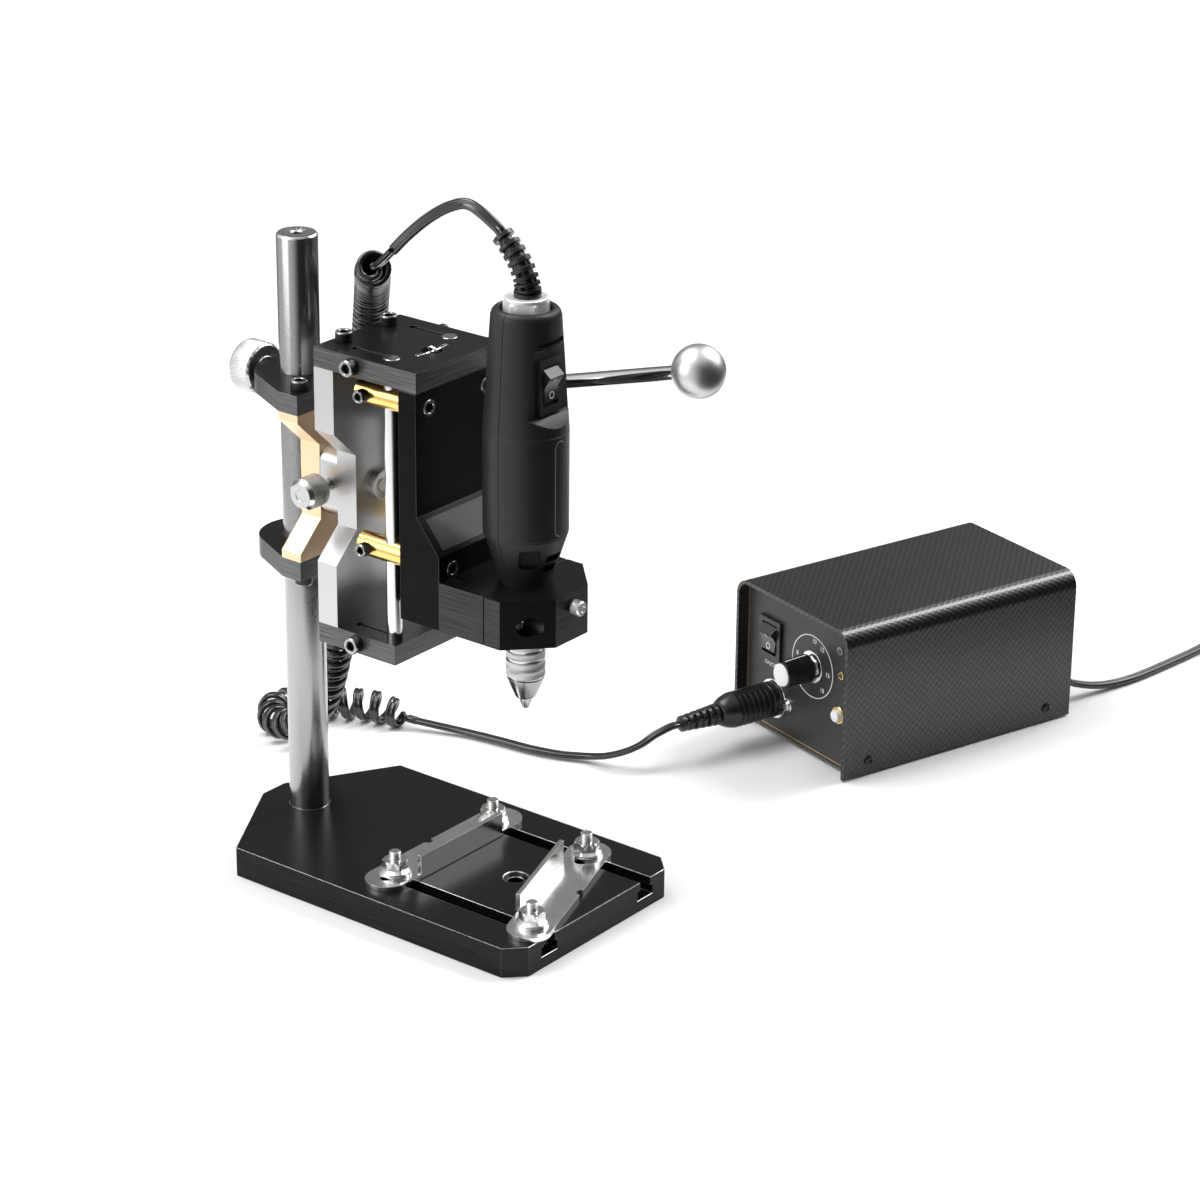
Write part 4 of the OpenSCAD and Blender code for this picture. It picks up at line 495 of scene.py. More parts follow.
class Parts:
    """Collects shapes for one mesh object, each with its own material key. They turn about way at a point."""

    def __init__(self, at=(0, 0, 0), way=UP):
        self.at, self.way = at, way
        self.v, self.f, self.m, self.keys = [], [], [], []

    def add(self, verts, faces, key):
        base = sum(len(v) for v in self.v)
        self.v.append(np.asarray(verts, float))
        self.f += [tuple(base + i for i in f) for f in faces]
        if key not in self.keys:
            self.keys.append(key)
        self.m += [self.keys.index(key)] * len(faces)

    def turn(self, profile, key, around=64, radius_at=None):
        self.add(*lathe(profile, self.at, self.way, around, radius_at), key)

    def knurl(self, r, h0, h1, count, depth):
        """A band of diamond knurling."""
        pitch = 2 * math.pi * r / count
        rings = max(6, int((h1 - h0) / pitch * 4))
        profile = [(r - depth, h0)] + step_rings((r, h0 + 0.15), (r, h1 - 0.15), rings) + [(r - depth, h1)]

        def at(i, ang, q):
            if i in (0, len(profile) - 1):
                return q
            h, u = profile[i][1] / pitch, ang * count / (2 * math.pi)
            return q - depth + depth * np.minimum(1.0, 1.5 * np.minimum(tri(u + h), tri(u - h)))

        self.turn(profile, "knurl", count * 4, at)

    def thread(self, d, h0, h1, pitch=1.0, depth=0.34, end=0.5):
        rings = int((h1 - h0) / pitch * 6)
        side = step_rings((d / 2, h0), (d / 2, h1 - end), rings)
        profile = [(0, h0)] + side + [(d / 2 - end, h1), (0, h1)]

        def at(i, ang, r):
            return r if i > rings else r - depth + depth * tri(profile[i][1] / pitch - ang / (2 * math.pi))

        self.turn(profile, "bolt", 24, at)

    def plate(self, origin, right, up, outline, key, inner=None):
        """A flat outline on a plane, or a ring between two outlines of equal count."""
        n = len(outline)
        v = placed(origin, right, up, outline + (inner or []))
        self.add(v, bands(2, n) if inner else [tuple(range(n))], key)

    def make(self, name, body, sharp=32):
        return make(name, np.concatenate(self.v), self.f, self.keys, body, sharp=sharp, index=self.m)

    def stand_for(self, node, slot, sharp=32):
        """Makes the object in the node's place."""
        o = self.make(f"{node}_visual", BODY_OF[node], sharp)
        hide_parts(node)
        return o


def catmull(p, k):
    """A smooth line through the points, with k steps between neighbours."""
    p = np.asarray(p, float)
    n = len(p) - 1
    out = []
    for i in range(n):
        a = 2 * p[0] - p[1] if i == 0 else p[i - 1]
        d = 2 * p[n] - p[n - 1] if i + 2 > n else p[i + 2]
        b, c = p[i], p[i + 1]
        for t in (j / k for j in range(k)):
            turn = (2 * a - 5 * b + 4 * c - d) * t * t + (3 * b - a - 3 * c + d) * t**3
            out.append(0.5 * (2 * b + (c - a) * t + turn))
    out.append(p[n])
    return np.array(out)


def ways(p):
    """The line's direction at each of its points."""
    t = np.empty_like(p)
    t[1:-1] = p[2:] - p[:-2]
    t[0], t[-1] = p[1] - p[0], p[-1] - p[-2]
    return t / np.linalg.norm(t, axis=1)[:, None]


def across(v, t):
    return unit(v - np.dot(v, t) * t)


def carried(t, n0):
    """A normal carried along the directions t without twist."""
    n = [across(np.asarray(n0, float), t[0])]
    for way in t[1:]:
        n.append(across(n[-1], way))
    return np.array(n)


def lengths(p):
    return np.concatenate([[0], np.cumsum(np.linalg.norm(np.diff(p, axis=0), axis=1))])


def smooth_step(x):
    c = np.clip(x, 0, 1)
    return c * c * (3 - 2 * c)


def swept(p, normals, section):
    """A closed tube along p. section(i) gives its outline at point i as (along the normal, across it)."""
    p = np.asarray(p, float)
    t, verts = ways(p), []
    for i, at in enumerate(p):
        n = across(np.asarray(normals[i], float), t[i])
        verts += placed(at, n, np.cross(t[i], n), section(i))
    return np.array(verts), tube(len(p), len(section(0)))


def oval(p, normals, a, b, sides=12):
    """A closed tube with an oval section: a along the normal, b across it."""
    a, b = np.broadcast_to(a, len(p)), np.broadcast_to(b, len(p))
    return swept(p, normals, lambda i: [(a[i] * x, b[i] * y) for x, y in circle(1.0, sides)])


def twin(p, normals, thick, wide):
    """A closed twin-core cord: two round cores side by side, thick along the normal and wide across it."""
    r = thick / 2
    lobe = [(r * math.sin(rad(a)), wide / 2 - r + r * math.cos(rad(a))) for a in np.linspace(-118, 118, 8)]
    section = lobe + [(r * 0.60, 0.0)] + [(-x, -y) for x, y in lobe] + [(-r * 0.60, 0.0)]
    return swept(p, normals, lambda i: section)


# ---------------------------------------------------------------- cords
RELIEF_Z = 312.65
RELIEF = [[0, -0.8, 0], [0, -0.8, 4], [0, 0.6, 9], [0, 4.2, 15.5], [0, 9.4, 21.5], [0, 14.2, 26]]
ARC = [[0, 33, 349], [0, 45, 346], [0, 58, 338], [2, 72, 327]]
COIL = [
    [6, 85, 316], [9, 94, 308.5], [12, 101, 303.5], [19, 109, 299], [27, 117, 293], [34, 123, 287],
    [40, 129, 277], [43, 133, 262], [45, 137, 240], [46, 142, 210], [47, 148, 170], [48, 156, 120],
    [51, 166, 78], [57, 180, 46], [63, 196, 27], [67, 214, 14], [73, 232, 9.5], [86, 243, 9.5],
    [99, 237, 9.5], [107, 226, 9.5], [115, 214, 9.5], [120, 201, 9.5], [123, 190, 7], [127, 178, 5],
]
COIL_LEAD, CURLS = 25.5, 59
RUN = [
    [131, 167, 4], [135, 156, 3], [138, 143, 2.6], [140, 129, 2.6], [142, 112, 2.6], [146, 96, 2.6],
    [150, 87, 2.8], [153, 79, 3.6], [154.5, 70, 6], [158, 60.5, 10], [162.5, 53.5, 14.5], [168, 49.3, 19],
]
MAINS = [
    [385, -75, 9.6], [397, -79.5, 5.4], [410, -84, 3.1], [428, -89, 2.2], [454, -93, 2], [489, -97, 2],
    [512, -96, 1.9], [530, -90, 1.9],
]
CURLY_W, CURLY_T, CURL_D = 5.4, 2.8, 17.5
MAINS_W, MAINS_T, MAINS_LOOPS = 5.5, 3.6, 6
YAW = rad(-17.5)
BOX = np.array([215.9, -38.6, 0.0])


def box_way(u, w, z=0.0):
    return np.array([u * math.cos(YAW) - w * math.sin(YAW), u * math.sin(YAW) + w * math.cos(YAW), z])


def box_point(u, w, z):
    return BOX + box_way(u, w, z)


def in_metres(p):
    return [tuple(float(x) * MM for x in q) for q in p]


def cord_piece(name, nodes, p, normals, ride, pieces=(), thick=CURLY_T, width=CURLY_W, key="cord"):
    """A stretch of cord that stands for nodes. ride is its body, or two bodies, in which case the piece is left
    in place, attached to neither.
    """
    p = np.asarray(p, float)
    o = make(name, *twin(p, normals, thick, width), key, sharp=75)
    if isinstance(ride, str):
        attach(o, ride)
    else:
        d = unit(p[-1] - p[0])
        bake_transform(o)
    in_metres([p[0]])[0]
    float(lengths(p)[-1]) * MM
    in_metres(p)
    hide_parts(*nodes)


def winding_path(per_turn):
    """The curled stretch: points, outward directions and how far along the centre line each point stands."""
    centre = catmull(COIL, 6)
    t = ways(centre)
    n = carried(t, [0, 0, 1])
    s = lengths(centre)
    whole, radius = s[-1], (CURL_D - CURLY_T) / 2
    turns = [0, 2, 14, 42, CURLS]
    reach = [COIL_LEAD, COIL_LEAD + 15.8, COIL_LEAD + 81.8, COIL_LEAD + 280.8, whole - CURLY_W]

    def at(v, x):
        return np.array([np.interp(x, s, v[:, i]) for i in range(3)])

    pts, outs, place = [], [], []

    def put(x, turn, r):
        e1 = unit(at(n, x))
        e2 = np.cross(unit(at(t, x)), e1)
        out = e1 * math.cos(2 * math.pi * turn) + e2 * math.sin(2 * math.pi * turn)
        pts.append(at(centre, x) + out * r)
        outs.append(out)
        place.append(x)

    for share in np.arange(0, 1, 0.1):
        put(share * COIL_LEAD, 0, 0)
    for k in range(CURLS * per_turn + 1):
        turn = k / per_turn
        grown = smooth_step(turn / 0.9) * smooth_step((CURLS - turn) / 0.9)
        put(np.interp(turn, turns, reach), turn, radius * grown)
    put(whole, 0, 0)
    return np.array(pts), np.array(outs), np.array(place), s[::6]


def curly_cord():
    end = np.array(RELIEF[-1]) + [0, 0, RELIEF_Z]
    way = unit(np.array(RELIEF[-1]) - RELIEF[-2])
    last = np.array(COIL[0]) + 0.3 * unit(np.array(ARC[-1], float) - COIL[0])
    arc = catmull([end, end + way * 5] + ARC + [last], 8)
    # the flat cord leaves the relief edge on and turns its wide side to the front on its way
    lean = np.interp(np.linspace(0, 1, len(arc)), [0, 0.15, 0.45, 1], [90, 62, 22, 8])
    flats = [(-math.cos(rad(a)), -0.25 * math.cos(rad(a)), math.sin(rad(a))) for a in lean]
    cord_piece("tool_cord_arc_visual", ["tool_cord_arc"], arc, flats, "carriage")
    p, out, place, knots = winding_path(24)
    chain = ["carriage", "head", "bracket", "column", "base"]
    edges = [int(np.searchsorted(place, knots[c])) for c in (0, 5, 8, 11, 15)]
    for i in range(4):
        part = slice(edges[i], edges[i + 1] + 1)
        cord_piece(f"curly_cord_hung_{i + 1}", ["curly_cord_coil"], p[part], out[part],
                   chain[i:i + 2])
    rest = slice(edges[-1], None)
    cord_piece("curly_cord_floor", ["curly_cord_coil"], p[rest], out[rest], "base")


curly_cord()

# ---------------------------------------------------------------- shapes for hardware
M5, M4 = (5, 8.5, 5), (4, 6.6, 4.5)  # thread, head diameter, head height


def cap_screw(parts, seat, axis, size, shank, turn, key="oxide", rim="oxide_rim"):
    """Socket cap screw: fluted head with a turned rim painted lighter as a highlight, hexagon socket, and its
    shank below the seat.
    """
    d, head_d, head_h = size
    r, brim, deep, hexa = head_d / 2, d * 0.4 + 0.5, head_h * 0.55, hex_radius(d * 0.8, turn)
    socket = [(brim, head_h - 0.3), (1, head_h - 0.45), (1, head_h - deep), (0, head_h - deep - 0.5)]
    for profile, around, what, bend in (
        ([(d / 2, 0), (r - 0.2, 0), (r, 0.2)], 48, key, None),
        ([(r, 0.2), (r, head_h - 0.7)], 96, key, lambda i, ang, q: q - 0.10 * (np.cos(32 * ang) > 0)),
        # the rim's chamfer and top ring take the rim material, a painted highlight
        ([(r - 0.05, head_h - 0.7), (r - 0.1, head_h - 0.45), (r - 0.5, head_h)], 48, rim, None),
        ([(r - 0.5, head_h), (brim + 0.25, head_h), (brim, head_h - 0.3)], 48, rim, None),
        (socket, 48, key, lambda i, ang, q: hexa(ang) if i in (1, 2) else q),
        ([(0, -shank), (d / 2 - 0.4, -shank), (d / 2, -shank + 0.4), (d / 2, 0)], 32, key, None),
    ):
        parts.add(*lathe(profile, seat, axis, around, bend), what)


def pan_screw(parts, at, axis, r, h, key, turn):
    """A pan head with a cross recess, and its shank."""
    dome = [(r * math.cos(a), h * 0.35 + h * 0.65 * math.sin(a)) for a in np.linspace(0.15, 1.25, 7)]
    edge, top = dome[-1]

    def cross(i, ang, q):
        arm = np.minimum(np.abs(np.sin(ang + turn)), np.abs(np.cos(ang + turn)))
        reach = np.minimum(0.6 * r, 0.15 * r / np.maximum(arm, 0.05))
        return (q, reach, reach * 0.72)[i]

    parts.add(*lathe([(0, 0), (r * 0.96, 0), (r, h * 0.12)] + dome, at, axis, 48), key)
    ring = [(edge, top), (0.5, top + 0.03), (0.4, top - h * 0.45), (0, top - h * 0.5)]
    parts.add(*lathe(ring, at, axis, 96, cross), key)
    parts.add(*lathe([(0, -6), (1.5, -6), (1.5, 0)], at, axis, 24), key)


def nut_side(flats, turn, end):
    """Bends four rings to a hexagon, with the two end rings kept within a radius."""
    hexa = hex_radius(flats, turn)
    return lambda i, ang, r: np.minimum(hexa(ang), end) if i in (0, 3) else hexa(ang)


def fluted(depth, count):
    return lambda i, ang, r: r - depth * (0.5 + 0.5 * np.cos(count * ang)) if i in (1, 2) else r


def block(lo, hi):
    """A box's points and faces."""
    v = [(x, y, z) for z in (lo[2], hi[2]) for y in (lo[1], hi[1]) for x in (lo[0], hi[0])]
    return v, [(0, 2, 3, 1), (4, 5, 7, 6), (0, 1, 5, 4), (2, 6, 7, 3), (0, 4, 6, 2), (1, 3, 7, 5)]


def solids(node):
    """The node's separate solids as (points in millimetres, faces), flat areas as one face each."""
    bm = bmesh.new()
    bm.from_mesh(NODES[node].data)
    bmesh.ops.remove_doubles(bm, verts=bm.verts, dist=2e-6)
    bmesh.ops.dissolve_limit(bm, angle_limit=rad(0.5), verts=bm.verts, edges=bm.edges)
    bm.verts.ensure_lookup_table()
    bm.faces.ensure_lookup_table()
    bm.verts.index_update()
    bm.faces.index_update()
    seen, out = set(), []
    for first in bm.verts:
        if first in seen:
            continue
        seen.add(first)
        todo, group = [first], []
        while todo:
            v = todo.pop()
            group.append(v)
            near = [w for w in (e.other_vert(v) for e in v.link_edges) if w not in seen]
            seen.update(near)
            todo += near
        group.sort(key=lambda v: v.index)
        number = {v.index: i for i, v in enumerate(group)}
        faces = sorted({f.index for v in group for f in v.link_faces})
        points = np.array([tuple(v.co) for v in group]) / MM
        out.append((points, [tuple(number[v.index] for v in bm.faces[i].verts) for i in faces]))
    bm.free()
    return out


def corners(bm):
    p = np.array([tuple(v.co) for v in bm.verts])
    return np.array([p.min(0), p.max(0)])


def edged(name, body, shapes, key, edge, width=0.4, segments=2, hide=()):
    """Solids with their sharp edges rounded; the rounding has its own material."""
    least_turn, most_grown, most_lost = rad(28), 0.05 * MM, 0.06
    bm = bmesh.new()
    for verts, faces in shapes:
        made = [bm.verts.new(tuple(v * MM for v in p)) for p in verts]
        for f in faces:
            bm.faces.new([made[i] for i in f])
    bm.normal_update()
    kept = bm.copy()
    sharp = [e for e in bm.edges if len(e.link_faces) == 2 and e.calc_face_angle(0.0) > least_turn]
    before, volume = corners(bm), bm.calc_volume()
    bmesh.ops.bevel(bm, geom=sharp, offset=width * MM, offset_type="OFFSET", segments=segments, profile=0.5,
                    affect="EDGES", clamp_overlap=True, material=1, loop_slide=True)
    grown = np.abs(corners(bm) - before).max()
    share = abs(bm.calc_volume() - volume) / max(volume, 1e-12)
    if grown > most_grown or share > most_lost:
        print(f"edged {name}: left sharp, grown {grown / MM:.2f} mm, volume off {share:.3f}")
        bm, kept = kept, bm
    kept.free()
    mesh = bpy.data.meshes.new(name)
    bm.to_mesh(mesh)
    bm.free()
    for k in (key, edge):
        mesh.materials.append(MAT[k])
    obj = linked(bpy.data.objects.new(name, mesh))
    smooth_and_weigh(obj, 38)
    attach(obj, body)
    if hide:
        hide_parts(*hide)


# ---------------------------------------------------------------- plates, blocks and switches
for node, key, edge, width, slot, segments in (
    ("base_plate", "black_base", "chamfer", 0.4, "anodised", 2),
    ("upper_column_clamp", "black_clamp", "chamfer", 0.45, "anodised", 2),
    ("lower_column_clamp", "black_clamp", "chamfer", 0.45, "anodised", 2),
    ("pivot_bracket", "gold", "gold_edge", 0.6, "gold", 2),
    ("back_plate", "silver", "silver_edge", 0.6, "silver", 2),
    ("tilt_boss", "silver", "silver_edge", 0.6, "silver", 2),
    ("top_plate", "black", "chamfer_thin", 0.25, "anodised", 2),
    ("bottom_plate", "black", "chamfer_thin", 0.25, "anodised", 2),
    ("carriage_frame", "carriage", "edge_dark", 0.4, "anodised", 2),
    ("guide_bushes", "brass", "brass_edge", 0.5, "brass", 2),
    ("pinion_bearing", "carriage", "edge_dark", 0.4, "anodised", 2),
    ("pinion_shaft", "gear", "gear", 0.12, "steel", 2),
    ("arm_block", "black_arm", "chamfer", 0.4, "anodised", 2),
    ("clamp_front", "black_arm", "chamfer", 0.4, "anodised", 2),
    ("tool_switch_frame", "bezel", "bezel_edge", 0.55, "gloss", 3),
    ("tool_rocker", "rocker", "rocker", 0.5, "gloss", 3),
    ("ctrl_cover", "cover", "cover_rim", 0.5, "painted", 2),
    ("ctrl_chassis", "chassis", "chassis", 0.2, "painted", 2),
    ("ctrl_front_panel", "panel", "cover_rim", 0.3, "painted", 2),
    ("ctrl_switch_frame", "bezel", "bezel_edge", 0.75, "gloss", 3),
    ("ctrl_rocker", "rocker", "rocker", 0.5, "gloss", 3),
):
    edged(f"{node}_visual", BODY_OF[node], solids(node), key, edge, width, segments, [node])

# the solids that stay as they are, with a material of their own
for node, key in (("column_bolt", "oxide"), ("feed_rack", "gear"), ("slope_panel", "slope"),
                  ("tool_motor", "motor"), ("ctrl_internals", "board")):
    for s in NODES[node].material_slots:
        s.material = MAT[key]
    if not NODES[node].material_slots:
        NODES[node].data.materials.append(MAT[key])


# ---------------------------------------------------------------- fences, column and bracket
COLUMN_Y, TILT_Z = 140.5, 199.4


def fence(node, strip_y, turn):
    """The strip, and on each side a washer, a flange nut and a T-bolt."""
    strip = sorted(solids(node), key=lambda s: -np.ptp(s[0][:, 0]))[:1]
    edged(f"{node}_strip", node, strip, "nickel", "nickel_edge", 0.35, hide=[node])
    for i, x in enumerate((-37.2, 37.2)):
        y = strip_y + x * math.tan(rad(turn))
        q = Parts((x, y, 0))
        washer = [(3.3, 18.0), (7.8, 18.0), (8.0, 18.15), (8.0, 19.0), (7.85, 19.2), (3.3, 19.2)]
        q.turn(washer, "nickel_edge")
        q.at, flats, h, r, hole = (x, y, 19.2), 11.4, 6.4, 7.65, 2.8
        hexa = hex_radius(flats, 0.5 + 0.7 * i)

        def side(k, ang, q):
            return (q, hexa(ang), hexa(ang), np.minimum(hexa(ang), flats / 2))[k]

        q.turn([(0, 0), (r - 0.2, 0), (r, 0.25), (r, 0.7), (r - 0.15, 0.9)], "bolt")
        q.turn([(r - 0.15, 0.9), (flats / 2, 2.1), (flats / 2, h - 0.7), (flats / 2, h)], "bolt", 72, side)
        q.turn([(flats / 2, h), (hole + 0.5, h), (hole, h - 0.5), (hole, h - 2)], "nickel_edge", 72)
        q.at = (x, y, 0)
        q.thread(6.0, 12.0, 30.0)
        q.make(f"{node}_bolt_{i + 1}", node)
        edged(f"{node}_t_head_{i + 1}", node, [block((x - 5.7, y - 5.7, 6.75), (x + 5.7, y + 5.7, 11.15))],
              "bolt", "nickel_edge", 0.4)


fence("rear_fence", 51.0, 0.0)
fence("front_fence", -21.4, 19.1)

q = Parts((0, COLUMN_Y, 0))
q.turn([(0, 9.7), (9.6, 9.7), (10, 10.1), (10, 314.3)], "column", 128)
q.turn([(10, 314.3), (9.8, 314.75), (9.2, 315.5)], "nickel_edge", 128)
q.turn([(9.2, 315.5), (3.4, 315.5)], spun("column_end", (0.7, 0.7, 0.69), q.at, 2), 128)
q.turn([(3.4, 315.5), (2.6, 314.8), (2.6, 302), (0, 300.5)], "gear", 48)
q.stand_for("column", "steel")

q = Parts((0, 0, TILT_Z), Y)
for i, x in enumerate((-22.5, 22.5)):
    cap_screw(q, (x, 120.4, 246.8), UP, M5, 17.5, 0.3 + i)
    cap_screw(q, (x, 120.4, 152.0), -UP, M5, 17.5, 0.8 + i)
head_y, end_y = 91.15, 128.5
q.turn([(0, head_y - 3), (3.1, head_y - 3)], "silver")
q.turn([(3.1, head_y - 3), (3.2, head_y - 2.5), (6.9, head_y - 3), (7.5, head_y - 2.4), (7.5, head_y - 0.1)],
       "silver")
q.turn([(7.5, head_y - 0.1), (6, head_y), (6, 127)], "steel")
q.turn([(6, 126.5), (8.3, 126.5), (8.5, 126.7), (8.5, 128.3), (8.2, end_y), (0, end_y)], "bolt")
q.stand_for("bracket_bolts", "dark_steel")

q = Parts((0, COLUMN_Y, 241.8), Y)
face = spun("lock_knob_face", grey(0.30), q.at, 1, 0.3)
q.turn([(0, 10.1), (3, 10.1), (3, 22.9)], "steel", 32)
q.turn([(3, 22.2), (6.3, 22.2), (6.5, 22.4), (6.5, 23.0)], "bolt", 48)
q.turn([(3, 22.9), (11.6, 22.9)], face, 96)
q.turn([(11.6, 22.9), (12.7, 23.9)], "turned_edge", 96)
q.turn([(12.7, 23.9), (13.0, 24.2), (13.0, 34.3), (12.7, 34.6)], "knurl", 288, fluted(0.28, 72))
q.turn([(12.7, 34.6), (11.9, 35.6), (11.4, 35.9)], "turned_edge", 96)
q.turn([(11.4, 35.9), (11.1, 35.75), (4.2, 35.75), (3.9, 35.9), (3.2, 35.9), (3.0, 35.5), (0, 35.5)], face,
       96)
q.stand_for("column_lock_knob", "steel")

q = Parts((0, 108.65, TILT_Z), -X)
q.turn([(0, 6.2), (2.6, 6.2), (3, 6.6), (3, 23)], "bolt", 48)
q.turn([(3, 23), (6.6, 23.0), (7.6, 23.9)], "nickel_edge", 96)
q.knurl(8.0, 23.9, 34.6, 44, 0.3)
q.turn([(7.7, 34.6), (7.6, 34.8), (6.3, 36.2)], "nickel_edge", 96)
q.turn([(6.3, 36.2), (6.1, 36.5), (3.0, 36.5), (2.7, 36.2), (0, 36.1)],
       spun("tilt_screw_face", (0.62, 0.62, 0.61), q.at, 0, 0.25), 96)
q.stand_for("tilt_thumbscrew", "steel")

# ---------------------------------------------------------------- head, carriage and feed
q = Parts()
for x in (-20.7, 20.7):
    q.at = (x, 63.5, 0)
    q.turn([(0, 124.4), (3.6, 124.4), (4, 124.8), (4, 274.0)], "rod")
    q.turn([(4, 274.0), (3.6, 274.4), (0, 274.4)], "rod")
q.stand_for("guide_rods", "steel", 30)

q = Parts((0, 56.7, 273.4), X)
for i, x in enumerate((-16, 16)):
    cap_screw(q, (x, 97.2, 274.4), UP, M5, 22, 0.15 + 0.6 * i)
    cap_screw(q, (x, 97.2, 124.4), -UP, M5, 22, 0.5 * i)
for s in (-1, 1):
    for z in (269.4, 129.4):
        cap_screw(q, (s * 31, 79, z), X * s, M5, 16, 0.4 + z)
q.turn([(0, -10.5), (0.6, -10.5), (0.8, -10.3), (0.8, 10.3), (0.6, 10.5), (0, 10.5)], "bolt", 24)
q.stand_for("head_screws", "dark_steel")


def return_spring():
    """The spring's wire, on the same path as the solid with more turns of detail."""
    peg_r, hook_r, wire, curls, per_turn = 3.0, 2.4, 1.4, 12, 20
    r, y, peg_z, pin_z = (9 - wire) / 2, 56.7, 194.8, 273.4
    top, low = pin_z - hook_r - 3, peg_z + peg_r + 3
    a, b = low + 3, top - 3
    p = [[peg_r * math.sin(rad(x)), 0, peg_z + peg_r * math.cos(rad(x))] for x in range(-250, -9, 12)]
    p.append([0, 0, low - 1.4])
    for turn in np.arange(curls * per_turn + 1) / per_turn:
        grow = r * smooth_step(turn / 0.9) * smooth_step((curls - turn) / 0.9)
        w = 2 * math.pi * turn
        p.append([grow * math.cos(w), grow * math.sin(w), a + (b - a) * turn / curls])
    p.append([0, 0, top + 1.4])
    p += [[0, hook_r * math.sin(rad(x)), pin_z + hook_r * math.cos(rad(x))] for x in range(-170, 71, 12)]
    p = np.array(p, float) + [0, y, 0]
    o = make("return_spring_visual", *oval(p, carried(ways(p), [0, 1, 0.02]), wire / 2, wire / 2), "spring",
             sharp=50)
    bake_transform(o)
    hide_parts("return_spring")


return_spring()

q = Parts((0, 0, 194.8), Y)
for i, x in enumerate((-20.7, 20.7)):
    cap_screw(q, (x, 45.5, 255.0), -Y, M5, 12, 0.2 + i)
    cap_screw(q, (x, 32.0, 178.0), -Y, M5, 25, 0.7 + i)
    for z in (178.0, 255.0):
        cap_screw(q, (x + math.copysign(6, x), 76, z), X * math.copysign(1, x), M4, 5.5, 0.3 + z)
    cap_screw(q, (x, -8, 160.5), -Y, M5, 46, 0.5 + i, "bolt", "nickel_edge")
q.turn([(0, 43.5), (2, 43.5), (2, 57.9), (3.5, 57.9), (3.5, 58.7), (3.2, 58.9), (0, 58.9)], "bolt", 32)
for z in (231.6, 244.6):
    q.at = (28.0, 0, z)
    q.turn([(0, 43.5), (1.5, 43.5), (1.5, 60.5), (0, 60.5)], "oxide", 24)
q.stand_for("carriage_screws", "dark_steel")

LEVER_X, LEVER_Y, LEVER_Z, LEVER_RISE = 42, 71.2, 240.1, rad(16)
q = Parts((0, LEVER_Y, LEVER_Z), X)
q.turn([(0, 36), (6.5, 36), (7, 36.5), (7, 47.5), (6.5, 48), (3.4, 48), (3.0, 47.6), (0, 47.6)], "chrome")
q.at, q.way = (LEVER_X, LEVER_Y, LEVER_Z), UP * math.sin(LEVER_RISE) - Y * math.cos(LEVER_RISE)
q.turn([(3.75, 2.0), (3.75, 130.5), (3.75, 131.0)], "chrome", 48)
q.stand_for("lever_arm", "steel")
q = Parts(q.at, q.way)
BALL_R, BALL_AT = 12.75, 144.0
ball = [
    (BALL_R * math.sin(a), BALL_AT - BALL_R * math.cos(a))
    for a in np.linspace(math.asin(5.0 / BALL_R), math.pi, 48)
]
q.turn([(3.8, 132.6), (3.9, 131.9), (4.7, 131.9)] + ball[:-1] + [(0, BALL_AT + BALL_R)], "ball", 96)
q.stand_for("ball_knob", "steel", 50)

q = Parts((0, 0, 167.0), -Y)
q.turn([(0, 13.0), (1.7, 13.0), (2, 13.3), (2, 28.7)], "bolt", 32)
q.turn([(2, 28.7), (3.1, 28.7), (3.6, 29.1)], "nickel_edge", 48)
q.knurl(3.75, 29.1, 33.3, 28, 0.2)
q.turn([(3.55, 33.3), (3.5, 33.5), (3.1, 34.0), (1.6, 34.0), (1.4, 33.8), (0, 33.8)], "nickel_edge", 48)
q.stand_for("tool_thumbscrew", "steel")


# ---------------------------------------------------------------- tool
BARREL_R = 20.25


def tool_radius(z):
    return float(np.interp(z, [147, 174.6, 198.8, 249, 307.5], [12.5, 12.5, BARREL_R, BARREL_R, 16.25]))


def shell_form():
    """The turned form with its seams and the parting line."""
    seam = 0.22
    rings = [(0, 147.0), (11.4, 147.0), (12.3, 147.5), (12.5, 148.2), (12.5, 173.6), (12.7, 174.9)]
    rings += [(tool_radius(z), z) for z in (182, 190, 197.6)]
    rings += [(20.1, 198.35), (BARREL_R - seam, 198.6), (BARREL_R - seam, 198.9), (20.2, 199.15)]
    rings += [(BARREL_R, z) for z in (199.5, 212, 224, 236, 248.3)]
    rings += [(20.22, 248.7), (BARREL_R - seam, 248.9), (BARREL_R - seam, 249.2), (20.2, 249.5)]
    rings += [(tool_radius(z), z) for z in (258, 268, 278, 288, 298, 304.0)]
    rings += circle(3.2, 6, 13.05, 304.3, 5, 80)
    rings += [(12.9, 307.5), (12.5, 307.2), (12.4, 300.0), (0, 300.0)]
    even = np.linspace(0, 2 * math.pi, 128, endpoint=False) + math.pi / 128
    line = [c + d for c in (0.0, math.pi) for d in (-0.011, -0.004, 0.004, 0.011)]
    side = np.sort(np.concatenate([even, line]) % (2 * math.pi))
    verts, loops = [], []
    for r, z in rings:
        if r == 0:
            loops.append([len(verts)])
            verts.append((0, 0, z))
            continue
        loops.append(list(range(len(verts), len(verts) + len(side))))
        for a in side:
            close = abs(math.sin(a)) if abs(math.cos(a)) > 0.9 else 1
            q = r - (seam if close < 0.006 and r > 12.45 else 0.0)
            verts.append((q * math.cos(a), q * math.sin(a), z))
    return make("tool_shell_visual", verts, skin(loops), ["tool", "tool_inner"])


def cutter(name, near, far):
    """What an opening takes away: two outlines of equal count, joined."""
    # the cutter's faces carry the painted-shade plastic into the opening's depths
    return make(name, near + far, tube(2, len(near)), "tool_inner", smooth=False)


